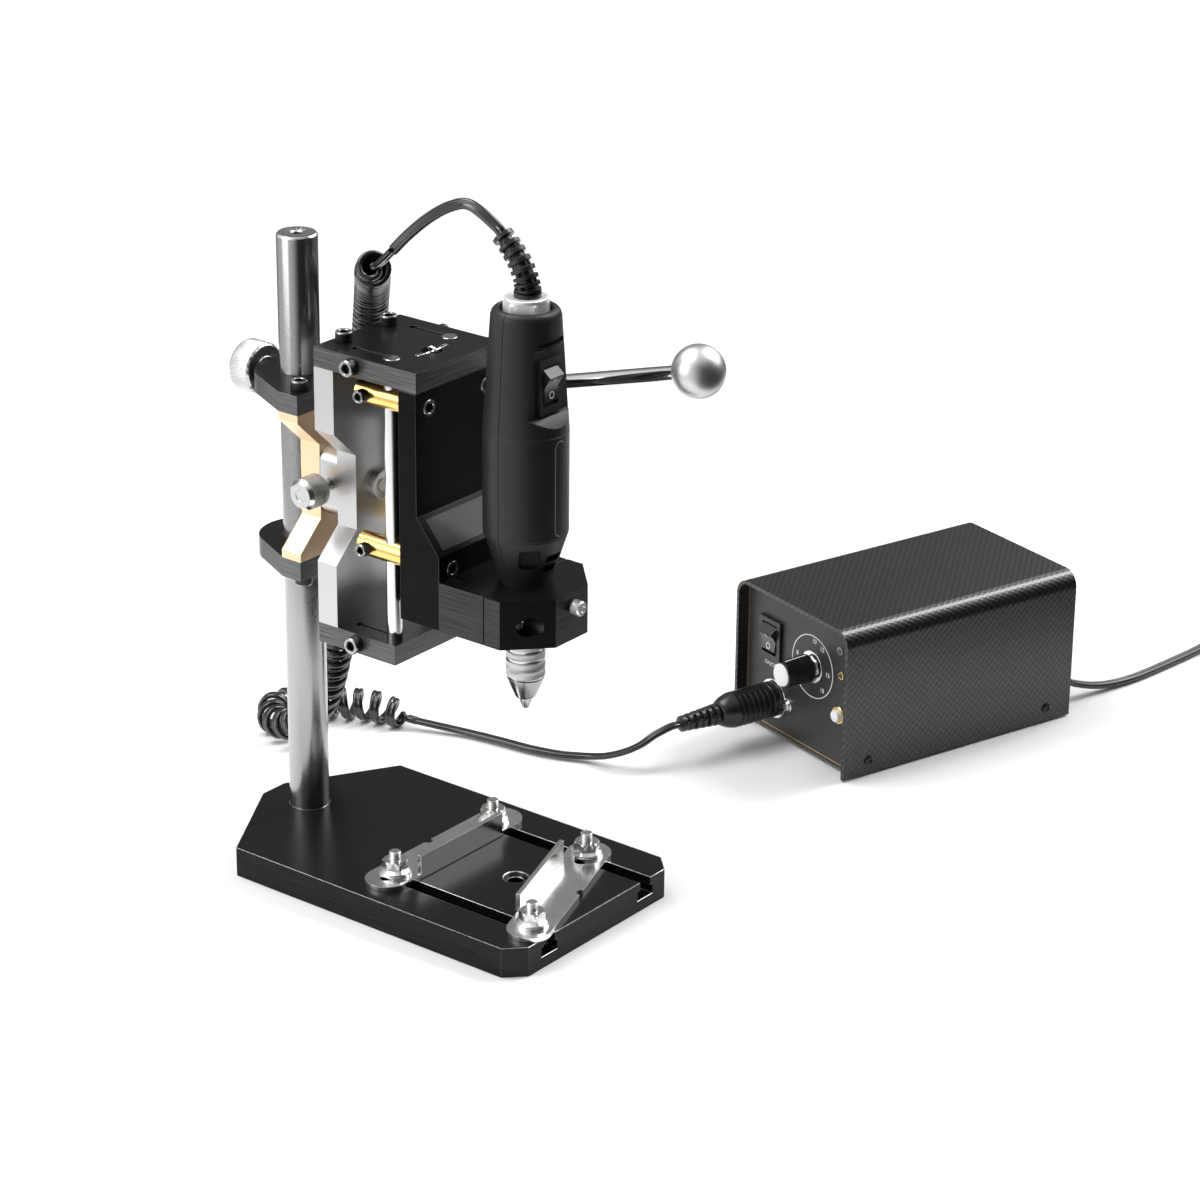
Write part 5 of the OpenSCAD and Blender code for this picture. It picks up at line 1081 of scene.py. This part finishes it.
def slot_cutter(name, angle0, angle1, z0, z1, r, soft):
    """A slot through the shell between two angles, measured from the front."""
    a, zc, hz = rad((angle0 + angle1) / 2), (z0 + z1) / 2, (z1 - z0) / 2
    half = tool_radius(zc) * math.sin(rad((angle1 - angle0) / 2))
    soft = min(soft, hz * 0.98)
    x, z = half - soft, hz - soft
    outline = circle(soft, 6, x, z, 0, 90) + circle(soft, 6, -x, z, 90, 180)
    outline += circle(soft, 6, -x, -z, 180, 270) + circle(soft, 6, x, -z, 270, 360)
    right, out = (math.cos(a), math.sin(a), 0), np.array([math.sin(a), -math.cos(a), 0])
    return cutter(name, *(placed(out * d + UP * zc, right, UP, outline) for d in (r, 30.0)))


def tool_shell():
    """Both shell halves as one mesh, with the openings cut out of the turned form."""
    body = shell_form()
    # the switch's flat, with a rounded upper corner and a curved ramp at its foot
    flat = [(-13.0 - 8.1 * t, 258.4 - 6.5 * t**1.5) for t in np.linspace(0, 2.4, 12)]
    flat += [(-34, 292.2), (-14.4, 291.4), (-13.0, 289.6)]
    cutters = [cutter("cut_flat", *([(x, y, z) for y, z in flat] for x in (-30, 30)))]
    slots = [
        ("cut_top", -32, 29, 292.6, 295.2, 14.0, 1.3),
        ("cut_low_1", -17.5, 17.5, 186.7, 190.6, 13.0, 0.9),
        ("cut_low_2", -18.6, 9.0, 181.5, 185.6, 11.5, 0.9),
        ("cut_window", -62, -28, 184.4, 194.8, 13.0, 2.0),
        ("cut_window_far", 28, 62, 184.4, 194.8, 13.0, 2.0),
    ]
    for a in (140, 220):
        slots += [(f"cut_rear_{a}_{i}", a - 24, a + 24, z, z + 2.4, 13.5, 1.0) for i, z in
                  enumerate((185.0, 189.5, 194.0))]
    cutters += [slot_cutter(*row) for row in slots]
    for o in cutters:
        m = body.modifiers.new(o.name, "BOOLEAN")
        m.operation, m.solver, m.object = "DIFFERENCE", "EXACT", o
        m.material_mode = "TRANSFER"
    bpy.context.view_layer.update()
    dg = bpy.context.evaluated_depsgraph_get()
    cut = bpy.data.meshes.new_from_object(body.evaluated_get(dg), depsgraph=dg)
    body.modifiers.clear()
    body.data = cut
    for o in cutters:
        mesh = o.data
        bpy.data.objects.remove(o)
        bpy.data.meshes.remove(mesh)
    # inner is the painted-shade material of the openings' depths
    inner = [m.name for m in cut.materials].index(MAT["tool_inner"].name)
    bm = bmesh.new()
    bm.from_mesh(cut)
    bmesh.ops.remove_doubles(bm, verts=bm.verts, dist=5e-6)
    rim = [e for e in bm.edges if len({f.material_index == inner for f in e.link_faces}) == 2]
    cut.materials.append(MAT["tool"])
    bmesh.ops.bevel(bm, geom=rim, offset=0.45 * MM, offset_type="OFFSET", segments=2, profile=0.5,
                    affect="EDGES", clamp_overlap=True, material=len(cut.materials) - 1)
    # the flat and its ramp are the shell's own plastic; only the depths of the openings keep the near-black
    # plastic, painted shade for the dark inside of the tool
    for f in bm.faces:
        c = f.calc_center_median() / MM
        if f.material_index == inner and c.y < -12.9 and 249.5 < c.z < 292.4:
            f.material_index = 0
    bm.to_mesh(cut)
    bm.free()
    smooth_and_weigh(body, 34)
    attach(body, "carriage")
    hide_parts("tool_shell_rear", "tool_shell_front")


tool_shell()


def badge():
    """The bare pill-shaped field on the barrel, a little proud of it."""
    q, half, z0, z1, proud = Parts(), 3.5, 199.9, 247.2, BARREL_R + 0.22
    mid, reach, field = (z0 + z1) / 2, (z1 - z0) / 2 - half, half * 0.86

    def on(x, z, r=proud):
        return (x, -math.sqrt(r * r - x * x), z)

    outline = circle(half, 13, 0, mid + reach, 0, 180) + circle(half, 13, 0, mid - reach, 180, 360)
    inner = [(x * 0.86, mid + (z - mid) * (1 - 0.5 / (reach + half))) for x, z in outline]
    v = [on(x, z, BARREL_R - 0.05) for x, z in outline] + [on(x, z) for x, z in inner]
    q.add(v, bands(2, len(outline)), "badge_line")
    xs, zs = np.linspace(-1, 1, 9) * field, np.linspace(mid - reach, mid + reach, 12)
    n = len(xs)
    cells = [i * n + k for i in range(len(zs) - 1) for k in range(n - 1)]
    q.add([on(x, z) for z in zs for x in xs], [(a, a + 1, a + n + 1, a + n) for a in cells], "badge")
    for sign, z in ((1, zs[-1]), (-1, zs[0])):
        ring = [on(x, z + sign * y) for x, y in circle(field, 13, 0, 0, 0, 180)]
        fan = [(0, i, i + 1)[::sign] for i in range(1, len(ring))]
        q.add([on(0, z)] + ring, fan, "badge")
    q.make("tool_badge", "carriage", 40)


badge()


def rocker_marks(name, body, pin, right, out, proud, h):
    """The line and the ring on the rocker's halves. pin is the rocker's axis; out points away from the panel."""
    out = np.asarray(out, float)
    c, s = math.cos(rad(14)), math.sin(rad(14))
    out, up = out * c - UP * s, UP * c + out * s
    q, valley = Parts(), np.asarray(pin, float) + out * proud
    for sign in (1, -1):
        ridge = valley + out * 1.9 + up * sign * (h / 2 - 2.4)
        way = unit(ridge - valley) * sign
        lift = np.cross(right, way)
        lift = lift if np.dot(lift, out) > 0 else -lift
        at = valley * 0.42 + ridge * 0.58 + lift * 0.05
        if sign > 0:
            q.plate(at, right, way, [(-0.32, -1.6), (0.32, -1.6), (0.32, 1.6), (-0.32, 1.6)], "white")
        else:
            q.plate(at, right, way, circle(1.8), "white", circle(1.3))
    q.make(name, body, 40)


rocker_marks("tool_switch_marks", BODY_OF["tool_rocker"], (0, -13.0, 272.5), X, -Y, 2.0, 17.6)

q, NUT_FLATS = Parts(), 10.9 * math.sqrt(3)
NUT_R = NUT_FLATS / 2 + 0.35
q.turn([(2.7, 297), (4.6, 297), (4.8, 297.3), (4.8, 300.0)], "nut_white", 48)
q.turn([(10, 300.0), (10, 300.9), (10, 310.1), (10, 311.0)], "nut_white", 96,
       nut_side(NUT_FLATS, math.pi / 6, NUT_R))
q.turn([(NUT_R - 0.2, 311.0), (10.0, 311.0), (10.1, 311.1), (10.15, 312.2), (9.8, 312.5), (6.6, 312.5),
        (6.3, 312.2), (5.5, 312.2), (5.5, 305)], "nut_white", 96)
q.turn([(0, 300.0), (4.8, 300.0), (NUT_R, 300.0)], "nut_white", 48)
q.stand_for("cable_nut", "steel", 30)


def strain_relief():
    """Bent tapered relief: rings joined by two side webs, so that slots stand open between them."""
    p = catmull(np.array(RELIEF, float) + [0, 0, RELIEF_Z], 24)
    n, t, q = len(p), ways(p), Parts()
    taper = np.linspace(13, 10.5, n) / 2
    pitch, ring, first, tail = 13, 7, 16, 9

    def piece(line, r, sides=40):
        q.add(*oval(line, [X] * len(line), r, r, sides), "relief")

    piece(p, taper - 2.3, 32)
    piece(p[:14], taper[:14])
    for number, start in enumerate(range(first, n - 8 - ring, pitch)):
        part = slice(start, start + ring + 1)
        r = taper[part].copy()
        r[[0, -1]] -= 0.35
        piece(p[part], r)
        # webs on alternating sides tie each ring to the next
        web = range(start + ring - 1, min(start + pitch + 1, n - 1))
        for side in (-1, 1):
            outs = [np.cross(t[i], X) if number % 2 else X for i in web]
            piece([p[i] + out * side * (taper[i] - 1.5) for i, out in zip(web, outs)], 1.35, 12)
    r = taper[-tail:].copy()
    r[-1] -= 0.5
    piece(p[-tail:], r)
    q.stand_for("strain_relief", "cord", 40)


strain_relief()


# ---------------------------------------------------------------- spindle and chuck
def jaws(i, ang, r):
    """Three jaws with narrow gaps."""
    gap = np.abs(((ang * 3 / (2 * math.pi)) % 1.0) - 0.5)
    return np.where(gap < 0.045, r * 0.72, r)


q = Parts()
q.turn([(0, 207), (4, 207), (4, 145.5)], "steel", 48)
q.turn([(4, 146.4), (5.6, 146.2), (6, 145.8), (6, 124.2), (9.0, 124.2), (9.1, 124.0)], "steel")
q.turn([(9.1, 124.0), (8.9, 123.4), (8.2, 121.4), (6.7, 117.9), (5.4, 115.0), (4.85, 113.8), (4.6, 113.6)],
       "chuck_cone", 96)
q.turn([(4.6, 113.6), (3.45, 113.6), (3.3, 113.3)], "steel")
q.turn([(3.3, 113.4), (3.1, 112.4), (1.6, 108.0), (1.45, 107.8), (0, 107.75)], "steel", 96, jaws)
q.stand_for("spindle", "steel", 34)

q = Parts()
q.turn([(6.1, 145.0), (8.7, 145.0), (9.3, 144.5), (9.3, 144.35)], "chuck_bright", 96)
for lo, hi in ((139.9, 144.4), (134.9, 138.4), (125.4, 133.4)):
    q.knurl(9.5, lo, hi, 64, 0.3)
for lo, hi in ((138.35, 139.95), (133.35, 134.95)):
    groove = [(9.1, hi), (8.75, hi - 0.2), (8.7, (lo + hi) / 2), (8.75, lo + 0.2), (9.1, lo)]
    q.turn(groove, "chuck_bright", 96)
q.turn([(9.25, 125.45), (9.35, 125.3), (9.2, 124.75), (8.9, 124.4), (6.1, 124.4)], "chuck_bright", 96)
q.stand_for("chuck_sleeve", "steel", 40)

# ---------------------------------------------------------------- controller
BOX_L, BOX_W, BOX_TOP = 156.0, 96.0, 84.3
KNOB_W, KNOB_Z, PLUG_W, PLUG_Z = 36.3, 51.9, 67.8, 22.2
FRONT, ALONG = box_way(-1, 0), box_way(1, 0)  # out of the panel, and back into the box
TO_LEFT = box_way(0, 1)  # across the panel, to the picture's left
PANEL = 6.0  # the panel's face, from the cover's edge


def on_panel(w, z, lift=0.0):
    return box_point(PANEL - lift, w, z)


def arched(w0, w1, z0, z1, r):
    """A rectangle in (w, z) with its two upper corners rounded."""
    upper = circle(r, 8, w1 - r, z1 - r, 0, 90) + circle(r, 8, w0 + r, z1 - r, 90, 180)
    return [(w0, z0), (w1, z0)] + upper


def box_words(name, text, size, w, z, bold):
    """Flat white lettering on the panel, as a mesh with its middle at (w, z)."""
    curve = bpy.data.curves.new(name, "FONT")
    curve.body, curve.size, curve.align_x, curve.align_y = text, size * MM, "CENTER", "CENTER"
    curve.offset, curve.resolution_u = bold * MM, 4
    temp = linked(bpy.data.objects.new(name + "_curve", curve))
    bpy.context.view_layer.update()
    mesh = bpy.data.meshes.new_from_object(temp.evaluated_get(bpy.context.evaluated_depsgraph_get()))
    bpy.data.objects.remove(temp)
    bpy.data.curves.remove(curve)
    mesh.name = name
    columns = (-TO_LEFT, UP, np.cross(-TO_LEFT, UP), on_panel(w, z, 0.06) * MM)
    mesh.transform(Matrix([list(row) for row in zip(*columns)] + [[0, 0, 0, 1]]))
    mesh.materials.clear()
    mesh.materials.append(MAT["white"])
    obj = linked(bpy.data.objects.new(name, mesh))
    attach(obj, "base")


# the thin gold line round the panel's edge
q = Parts()
q.plate(on_panel(0, 0, 0.06), TO_LEFT, UP, arched(3.6, BOX_W - 3.6, 4.6, BOX_TOP - 3.4, 5.4), "gold_print",
        arched(4.1, BOX_W - 4.1, 5.1, BOX_TOP - 3.9, 4.9))
q.make("ctrl_panel_line", "base", 40)

# a plain circle round the speed knob with the numbers inside it
q = Parts()
q.plate(on_panel(KNOB_W, KNOB_Z, 0.05), -TO_LEFT, UP, circle(17.6, 96), "white", circle(17.05, 96))
q.make("ctrl_dial_ring", "base", 40)
numbers = (("8", -13.1, 3.4), ("10", 1.1, 14.7), ("12", 7.7, 12.2), ("15", 13.1, -0.5), ("18", 8.8, -10.7))
for i, (text, x, y) in enumerate(numbers):
    box_words(f"ctrl_dial_number_{i}", text, 3.6, KNOB_W - x, KNOB_Z + y, 0.04)

rocker_marks("ctrl_rocker_marks", BODY_OF["ctrl_rocker"], on_panel(71.7, 55.8), -TO_LEFT, FRONT, 2.4, 16.0)
box_words("ctrl_mark_on_off", "ON/OFF", 3.2, 71.7, 40.4, 0.03)

q = Parts(on_panel(KNOB_W, KNOB_Z), FRONT)
q.turn([(3.1, 0.02), (8.5, 0.02), (8.75, 0.2), (8.75, 0.65), (8.5, 0.8), (3.1, 0.8)], "nickel_edge", 72)
q.turn([(5.2, h) for h in (0.8, 1.0, 2.4, 2.8)], "bolt", 72, nut_side(6.2 * math.sqrt(3), 0.3, 5.55))
q.turn([(5.2, 2.8), (3.6, 2.8), (3.3, 2.6)], "nickel_edge", 72)
q.thread(7, 2.0, 3.1, 0.75, 0.25, 0.3)
q.at = on_panel(12.9, 32.6)
q.turn([(3.3, 0.02), (4.9, 0.02), (5.0, 0.2), (4.9, 0.6), (4.5, 1.0), (3.7, 1.05), (3.3, 0.8), (3.3, -2)],
       "gold_ring")
for w, z, ring in ((13.3, 68.9, "gear"), (11.8, 55.5, "gold_ring")):
    q.at = on_panel(w, z)
    q.turn([(1.35, 0.02), (2.3, 0.02), (2.35, 0.15), (2.2, 0.5), (1.75, 0.65), (1.5, 0.5)], ring, 48)
    dome = [(1.5 * math.cos(a), 0.5 + 0.75 * math.sin(a)) for a in np.linspace(0.1, 1.45, 8)]
    q.turn([(1.5, 0.4)] + dome + [(0, 1.25)], "lens", 32)
q.stand_for("ctrl_panel_fittings", "nickel", 40)

q, low, cap = Parts(on_panel(KNOB_W, KNOB_Z), FRONT), 3.25, 21.4
q.turn([(7.4, low), (7.72, low + 0.3), (6.95, cap - 2.4), (6.85, cap - 1.6)], "knob", 216, fluted(0.24, 36))
q.turn([(0, low), (7.4, low)], "knob")
q.turn([(6.85, cap - 1.6), (6.7, cap - 1.2), (6.3, cap - 1.1), (6.2, cap - 0.9)], "knob", 96)
q.turn([(6.2, cap - 1.2), (6.15, cap - 0.5), (5.7, cap - 0.08), (5.0, cap), (0, cap)], "white_cap", 96)
pointer = [(low + 1.5, 7.72, -0.45), (cap - 3, 7.06, -0.45), (cap - 3, 7.06, 0.45), (low + 1.5, 7.72, 0.45)]
q.add([q.at + FRONT * h + UP * r + TO_LEFT * s for h, r, s in pointer], [(0, 1, 2, 3)], "white")
q.stand_for("speed_knob", "plastic", 40)

q = Parts(on_panel(12.9, 32.6), FRONT)
dome = [(2.9 * math.cos(a), 3.05 + 0.35 * math.sin(a)) for a in np.linspace(0.1, 1.5, 6)]
q.turn([(0, -3), (3.15, -3), (3.15, 2.7), (3.0, 3.05)] + dome + [(0, 3.4)], "white_cap")
q.stand_for("mode_button", "white", 50)

q = Parts()
for u in (17.3, BOX_L - 16.4):
    pan_screw(q, box_point(u, 0, 8.5), box_way(0, -1), 3.0, 1.4, "oxide", 0.3 + u)
    pan_screw(q, box_point(u, BOX_W, 8.5), TO_LEFT, 3.0, 1.4, "oxide", 0.9 + u)
q.stand_for("ctrl_cover_screws", "dark_steel", 30)

q = Parts()
foot = [(0, 0), (1.2, 0), (1.3, 0.5), (4.9, 0.5), (5.1, 0.05), (5.5, 0.3), (6, 2.9), (5.9, 3.0), (0, 3.0)]
for u in (18, BOX_L - 18):
    for w in (14, BOX_W - 14):
        q.at = box_point(u, w, 0)
        q.turn(foot, "feet", 40)
q.stand_for("ctrl_feet", "feet", 40)


# ---------------------------------------------------------------- socket and plug
def flange(grow, boss=11.0, ear=12.5, ear_r=3.5):
    """The farther of the round boss and the slot through the two ears."""
    p = []
    for x, y in circle(1.0, 96):
        best = boss
        for c in (-ear, ear):
            disc = (x * c) ** 2 - (c * c - ear_r**2)
            if disc > 0:
                best = max(best, x * c + math.sqrt(disc))
        p.append(((best + grow) * x, (best + grow) * y))
    return p


q = Parts(on_panel(PLUG_W, PLUG_Z), FRONT)
outlines = ((0, flange(0)), (1.2, flange(0)), (1.5, flange(-0.3)), (1.5, circle(7.2, 96)),
            (-5, circle(7.0, 96)))
rim = [p for h, outline in outlines for p in placed(q.at + FRONT * h, -TO_LEFT, UP, outline)]
q.add(rim, bands(5, 96), "nickel_edge")
for s in (-1, 1):
    pan_screw(q, q.at + FRONT * 1.5 - TO_LEFT * 12.5 * s, FRONT, 2.6, 1.45, "bolt", 0.5 * s)
q.turn([(7.2, -6), (7.5, -6), (7.5, 0.2)], "steel", 48)
q.stand_for("din_socket", "nickel", 40)


def din_plug():
    """The moulded plug: a slotted grip, and a relief of rings and webs on a core."""
    q, low, grip = Parts(box_point(0, PLUG_W, PLUG_Z), FRONT), 1.7 - PANEL, 23.8
    q.turn([(0, low), (9.2, low), (9.6, low + 0.4), (9.75, low + 1.2), (9.75, low + 4.6), (9.35, low + 5.0),
            (9.35, low + 5.6), (9.75, low + 6.0)], "plug", 72)
    rows = [(9.75, low + 6.0)] + [(9.75, h) for h in np.linspace(low + 6.8, grip - 0.8, 49)] + [(9.6, grip)]

    def slots(i, ang, r):
        """Six rows of short slots round the grip, on two opposite sides."""
        side = np.clip((np.abs(np.cos(ang)) - 0.35) / 0.12, 0, 1)
        return r - 0.75 * side * (3 <= i <= len(rows) - 4 and 2 <= (i - 3) % 8 <= 5)

    q.turn(rows, "plug", 96, slots)
    q.turn([(9.6, grip), (9.3, 25.2), (8.4, 28.2), (7.0, 30.8), (6.2, 31.8), (5.2, 32.1)], "plug", 72)
    q.turn([(5.2, 32.1), (3.4, 32.5), (3.3, 56.6), (2.4, 57.0), (0, 57.0)], "relief", 48)
    pitch = 25.0 / 6
    starts = [33.4 + i * pitch * 0.985 for i in range(6)]
    for i, h in enumerate(starts):
        r, mid, end = 5.9 - 0.3 * i, h + pitch * 0.5, h + pitch * 0.56
        ring = [(3.2, h), (r - 0.25, h), (r, h + 0.25), (r - 0.05, mid), (r - 0.3, end), (3.2, end)]
        q.turn(ring, "relief", 48)
    for s in (-1, 1):
        for i, h in enumerate(starts[:-1]):
            way = (UP if i % 2 else TO_LEFT) * s
            a, b = (q.at + FRONT * (h + pitch * k) + way * (4.6 - 0.3 * i) for k in (0.4, 1.1))
            q.add(*oval([a, (a + b) / 2, b], [way] * 3, 0.85, 1.5, 12), "relief")
    return q.stand_for("din_plug", "cord", 40)


run = catmull([COIL[-1]] + RUN + [box_point(u, PLUG_W, PLUG_Z) for u in (-63, -57)], 6)
cord_piece("curly_cord_run_visual", ["curly_cord_run"], run, [UP] * len(run), "base",
           [din_plug()])


# ---------------------------------------------------------------- mains cord
q = Parts(box_point(0.5, 16, 12), ALONG)
q.turn([(0, 147), (4.5, 147), (4.5, 153), (6.2, 153), (6.5, 153.2), (6.5, 154.3), (6.2, 154.6), (4.6, 154.6)],
       "plug", 48)
q.turn([(4.6, 154.6), (4.5, 155.5), (4.3, 158.5), (3.6, 160.3), (2.6, 160.5), (0, 160.5)], "plug", 48)
q.stand_for("mains_gland", "plastic", 40)


def mains_path():
    """The cord's line from the box through its coil, and its direction at the end."""
    cx, cy, inner, step, start = 558.0, -128.0, 22.0, 6.3, 90.0
    low, high, half = MAINS_T / 2 + 0.1, MAINS_T * 1.5 + 0.7, MAINS_LOOPS / 2

    def spot(turn):
        h = low + (high - low) * smooth_step((turn - half + 0.25) / 0.5)
        r, a = inner + step * abs(turn - half), rad(start - 360 * turn)
        return np.array([cx + r * math.cos(a), cy + r * math.sin(a), h])

    def way(turn):
        return unit(spot(turn + 0.01) - spot(turn - 0.01))

    coil = [spot(0) - way(0) * MAINS_W] + [spot(k / 36) for k in range(MAINS_LOOPS * 36 + 1)]
    coil += [spot(MAINS_LOOPS) + way(MAINS_LOOPS) * 28 * s for s in (0.25, 0.5, 0.75, 1.0)]
    head = catmull([box_point(161, 16, 12), box_point(168, 16, 12)] + MAINS + [coil[0]], 8)
    return np.concatenate([head, coil[1:]]), way(MAINS_LOOPS)


def mains_plug(end, way):
    """A ribbed relief, a rounded block with a waist for the fingers, and two blades."""
    q, side, flat = Parts(), unit(np.cross(UP, way)), unit([way[0], way[1], 0])
    r = np.linspace(3.7, 5.5, 25)
    r[[i + k for i in range(4, 22, 4) for k in (0, 1)]] -= 0.9
    q.add(*oval([end + flat * s for s in np.linspace(-1, 23, 25)], [UP] * 25, r, r, 32), "plug")
    middle = np.array([end[0], end[1], 9.0])
    round_block = [[math.copysign(abs(c) ** 0.45, c) for c in p] for p in circle(1.0, 48)]
    sections = ((0, 9.0, 6.0), (0.8, 10.6, 7.0), (3, 11.6, 7.6), (9, 11.2, 7.2), (15, 11.4, 7.4), (23, 12, 8),
                (25.2, 11.8, 7.8), (26, 11.0, 7.0))
    v = []
    for s, wide, high in sections:
        v += placed(middle + flat * (22 + s), side * wide, UP * high, round_block)
    q.add(v, tube(len(sections), 48), "plug")
    for s in (-1, 1):
        v = []
        for d, x, z in ((0, 0.75, 3.15), (14.5, 0.75, 3.15), (16.7, 0.35, 2.3)):
            corner = [(-x, -z), (x, -z), (x, z), (-x, z)]
            v += placed(middle + flat * (47 + d) + side * 6.35 * s, side, UP, corner)
        q.add(v, bands(3, 4) + [(8, 9, 10, 11)], "blade")
    return q.stand_for("mains_plug", "cord", 40)


line, way = mains_path()
cord_piece("mains_cord_visual", ["mains_cord_run", "mains_cord_coil"], line, [UP] * len(line),
           "base", [mains_plug(line[-1], way)], MAINS_T, MAINS_W, "mains")


# ---------------------------------------------------------------- floor and light
def floor():
    """A pale floor that fades out well beyond the object."""
    k, cx, cy, n = Look("floor_paint"), 150.0, 60.0, 96
    reach = k.vector("LENGTH", k.vector("SUBTRACT", k.place(), (cx, cy, 0.0)), out="Value")
    front = k.span(k.axes(k.place())[1], -290.0, -150.0)
    k.set(
        Base_Color=k.blend(k.span(k.noise(0.01, 2.0), 0.3, 0.7), grey(0.90), grey(0.92)),
        Roughness=k.span(k.noise(0.8, 3.0), 0.3, 0.7, 0.58, 0.66),
        Specular_IOR_Level=0.2,
        Alpha=k.math("MULTIPLY", front, k.span(reach, 560.0, 1000.0, 1.0, 0.0)),
    )
    points = [(cx, cy)] + [p for r in (300, 600, 1000) for p in circle(r, n, cx, cy)]
    loops = [[0]] + [list(range(1 + j * n, 1 + j * n + n)) for j in range(3)]
    make("floor", [(x, y, 0) for x, y in points], skin(loops), k.mat, smooth=False)


floor()

for name, spot, target, size, size_y, watts in (
    ("light_top_back", (-0.25, 0.75, 1.6), (0.08, 0.05, 0.1), 1.3, 0.9, 19),
    ("light_left", (-1.5, 0.9, 0.75), (0.0, 0.1, 0.15), 1.2, 1.0, 9),
    ("light_right", (1.5, 0.1, 0.9), (0.1, 0.0, 0.1), 0.8, 0.8, 3),
):
    data = bpy.data.lights.new(name, "AREA")
    data.energy, data.shape, data.size, data.size_y = watts, "RECTANGLE", size, size_y
    lamp = linked(bpy.data.objects.new(name, data))
    lamp.location = spot
    lamp.rotation_euler = (Vector(target) - Vector(spot)).to_track_quat("-Z", "Y").to_euler()


def world():
    """Soft lights in a dim surround; the camera itself sees plain white."""
    w = bpy.data.worlds.new("studio")
    bpy.context.scene.world = w
    w.use_nodes = True
    t = w.node_tree
    t.nodes.clear()

    def node(kind, inputs=(), out=0, **props):
        n = t.nodes.new(kind)
        for key, value in props.items():
            setattr(n, key, value)
        for key, value in dict(inputs).items():
            if isinstance(value, bpy.types.NodeSocket):
                t.links.new(value, n.inputs[key])
            else:
                n.inputs[key].default_value = value
        return n.outputs[out] if n.outputs else None

    way, total = node("ShaderNodeTexCoord", out="Generated"), 0.03
    for direction, a, b, level in (
        ((-0.85, 0.52, -0.05), 0.15, 0.85, 0.8),
        ((0, 0.1, 1), 0.45, 0.95, 0.7),
        ((0.5, 0.85, 0.0), 0.3, 0.95, 0.12),
        ((0.95, -0.1, 0.1), 0.55, 0.98, 0.14),
        ((0.73, -0.38, 0.565), 0.9, 0.97, 2.4),
        ((0.58, -0.16, 0.80), 0.978, 0.994, 14.0),
    ):
        d = node("ShaderNodeVectorMath", {0: way, 1: tuple(unit(direction))}, "Value",
                 operation="DOT_PRODUCT")
        lobe = node("ShaderNodeMapRange", {0: d, 1: a, 2: b, 3: 0.0, 4: level},
                    interpolation_type="SMOOTHSTEP")
        total = node("ShaderNodeMath", {0: total, 1: lobe}, operation="ADD")
    lit, plain = (node("ShaderNodeBackground", {"Color": (1, 1, 1, 1), "Strength": s}) for s in (total, 1.0))
    seen = node("ShaderNodeLightPath", out="Is Camera Ray")
    node("ShaderNodeOutputWorld", {0: node("ShaderNodeMixShader", {0: seen, 1: lit, 2: plain})})


world()
scene = bpy.context.scene
scene.view_settings.view_transform = "Standard"
scene.view_settings.look = "None"
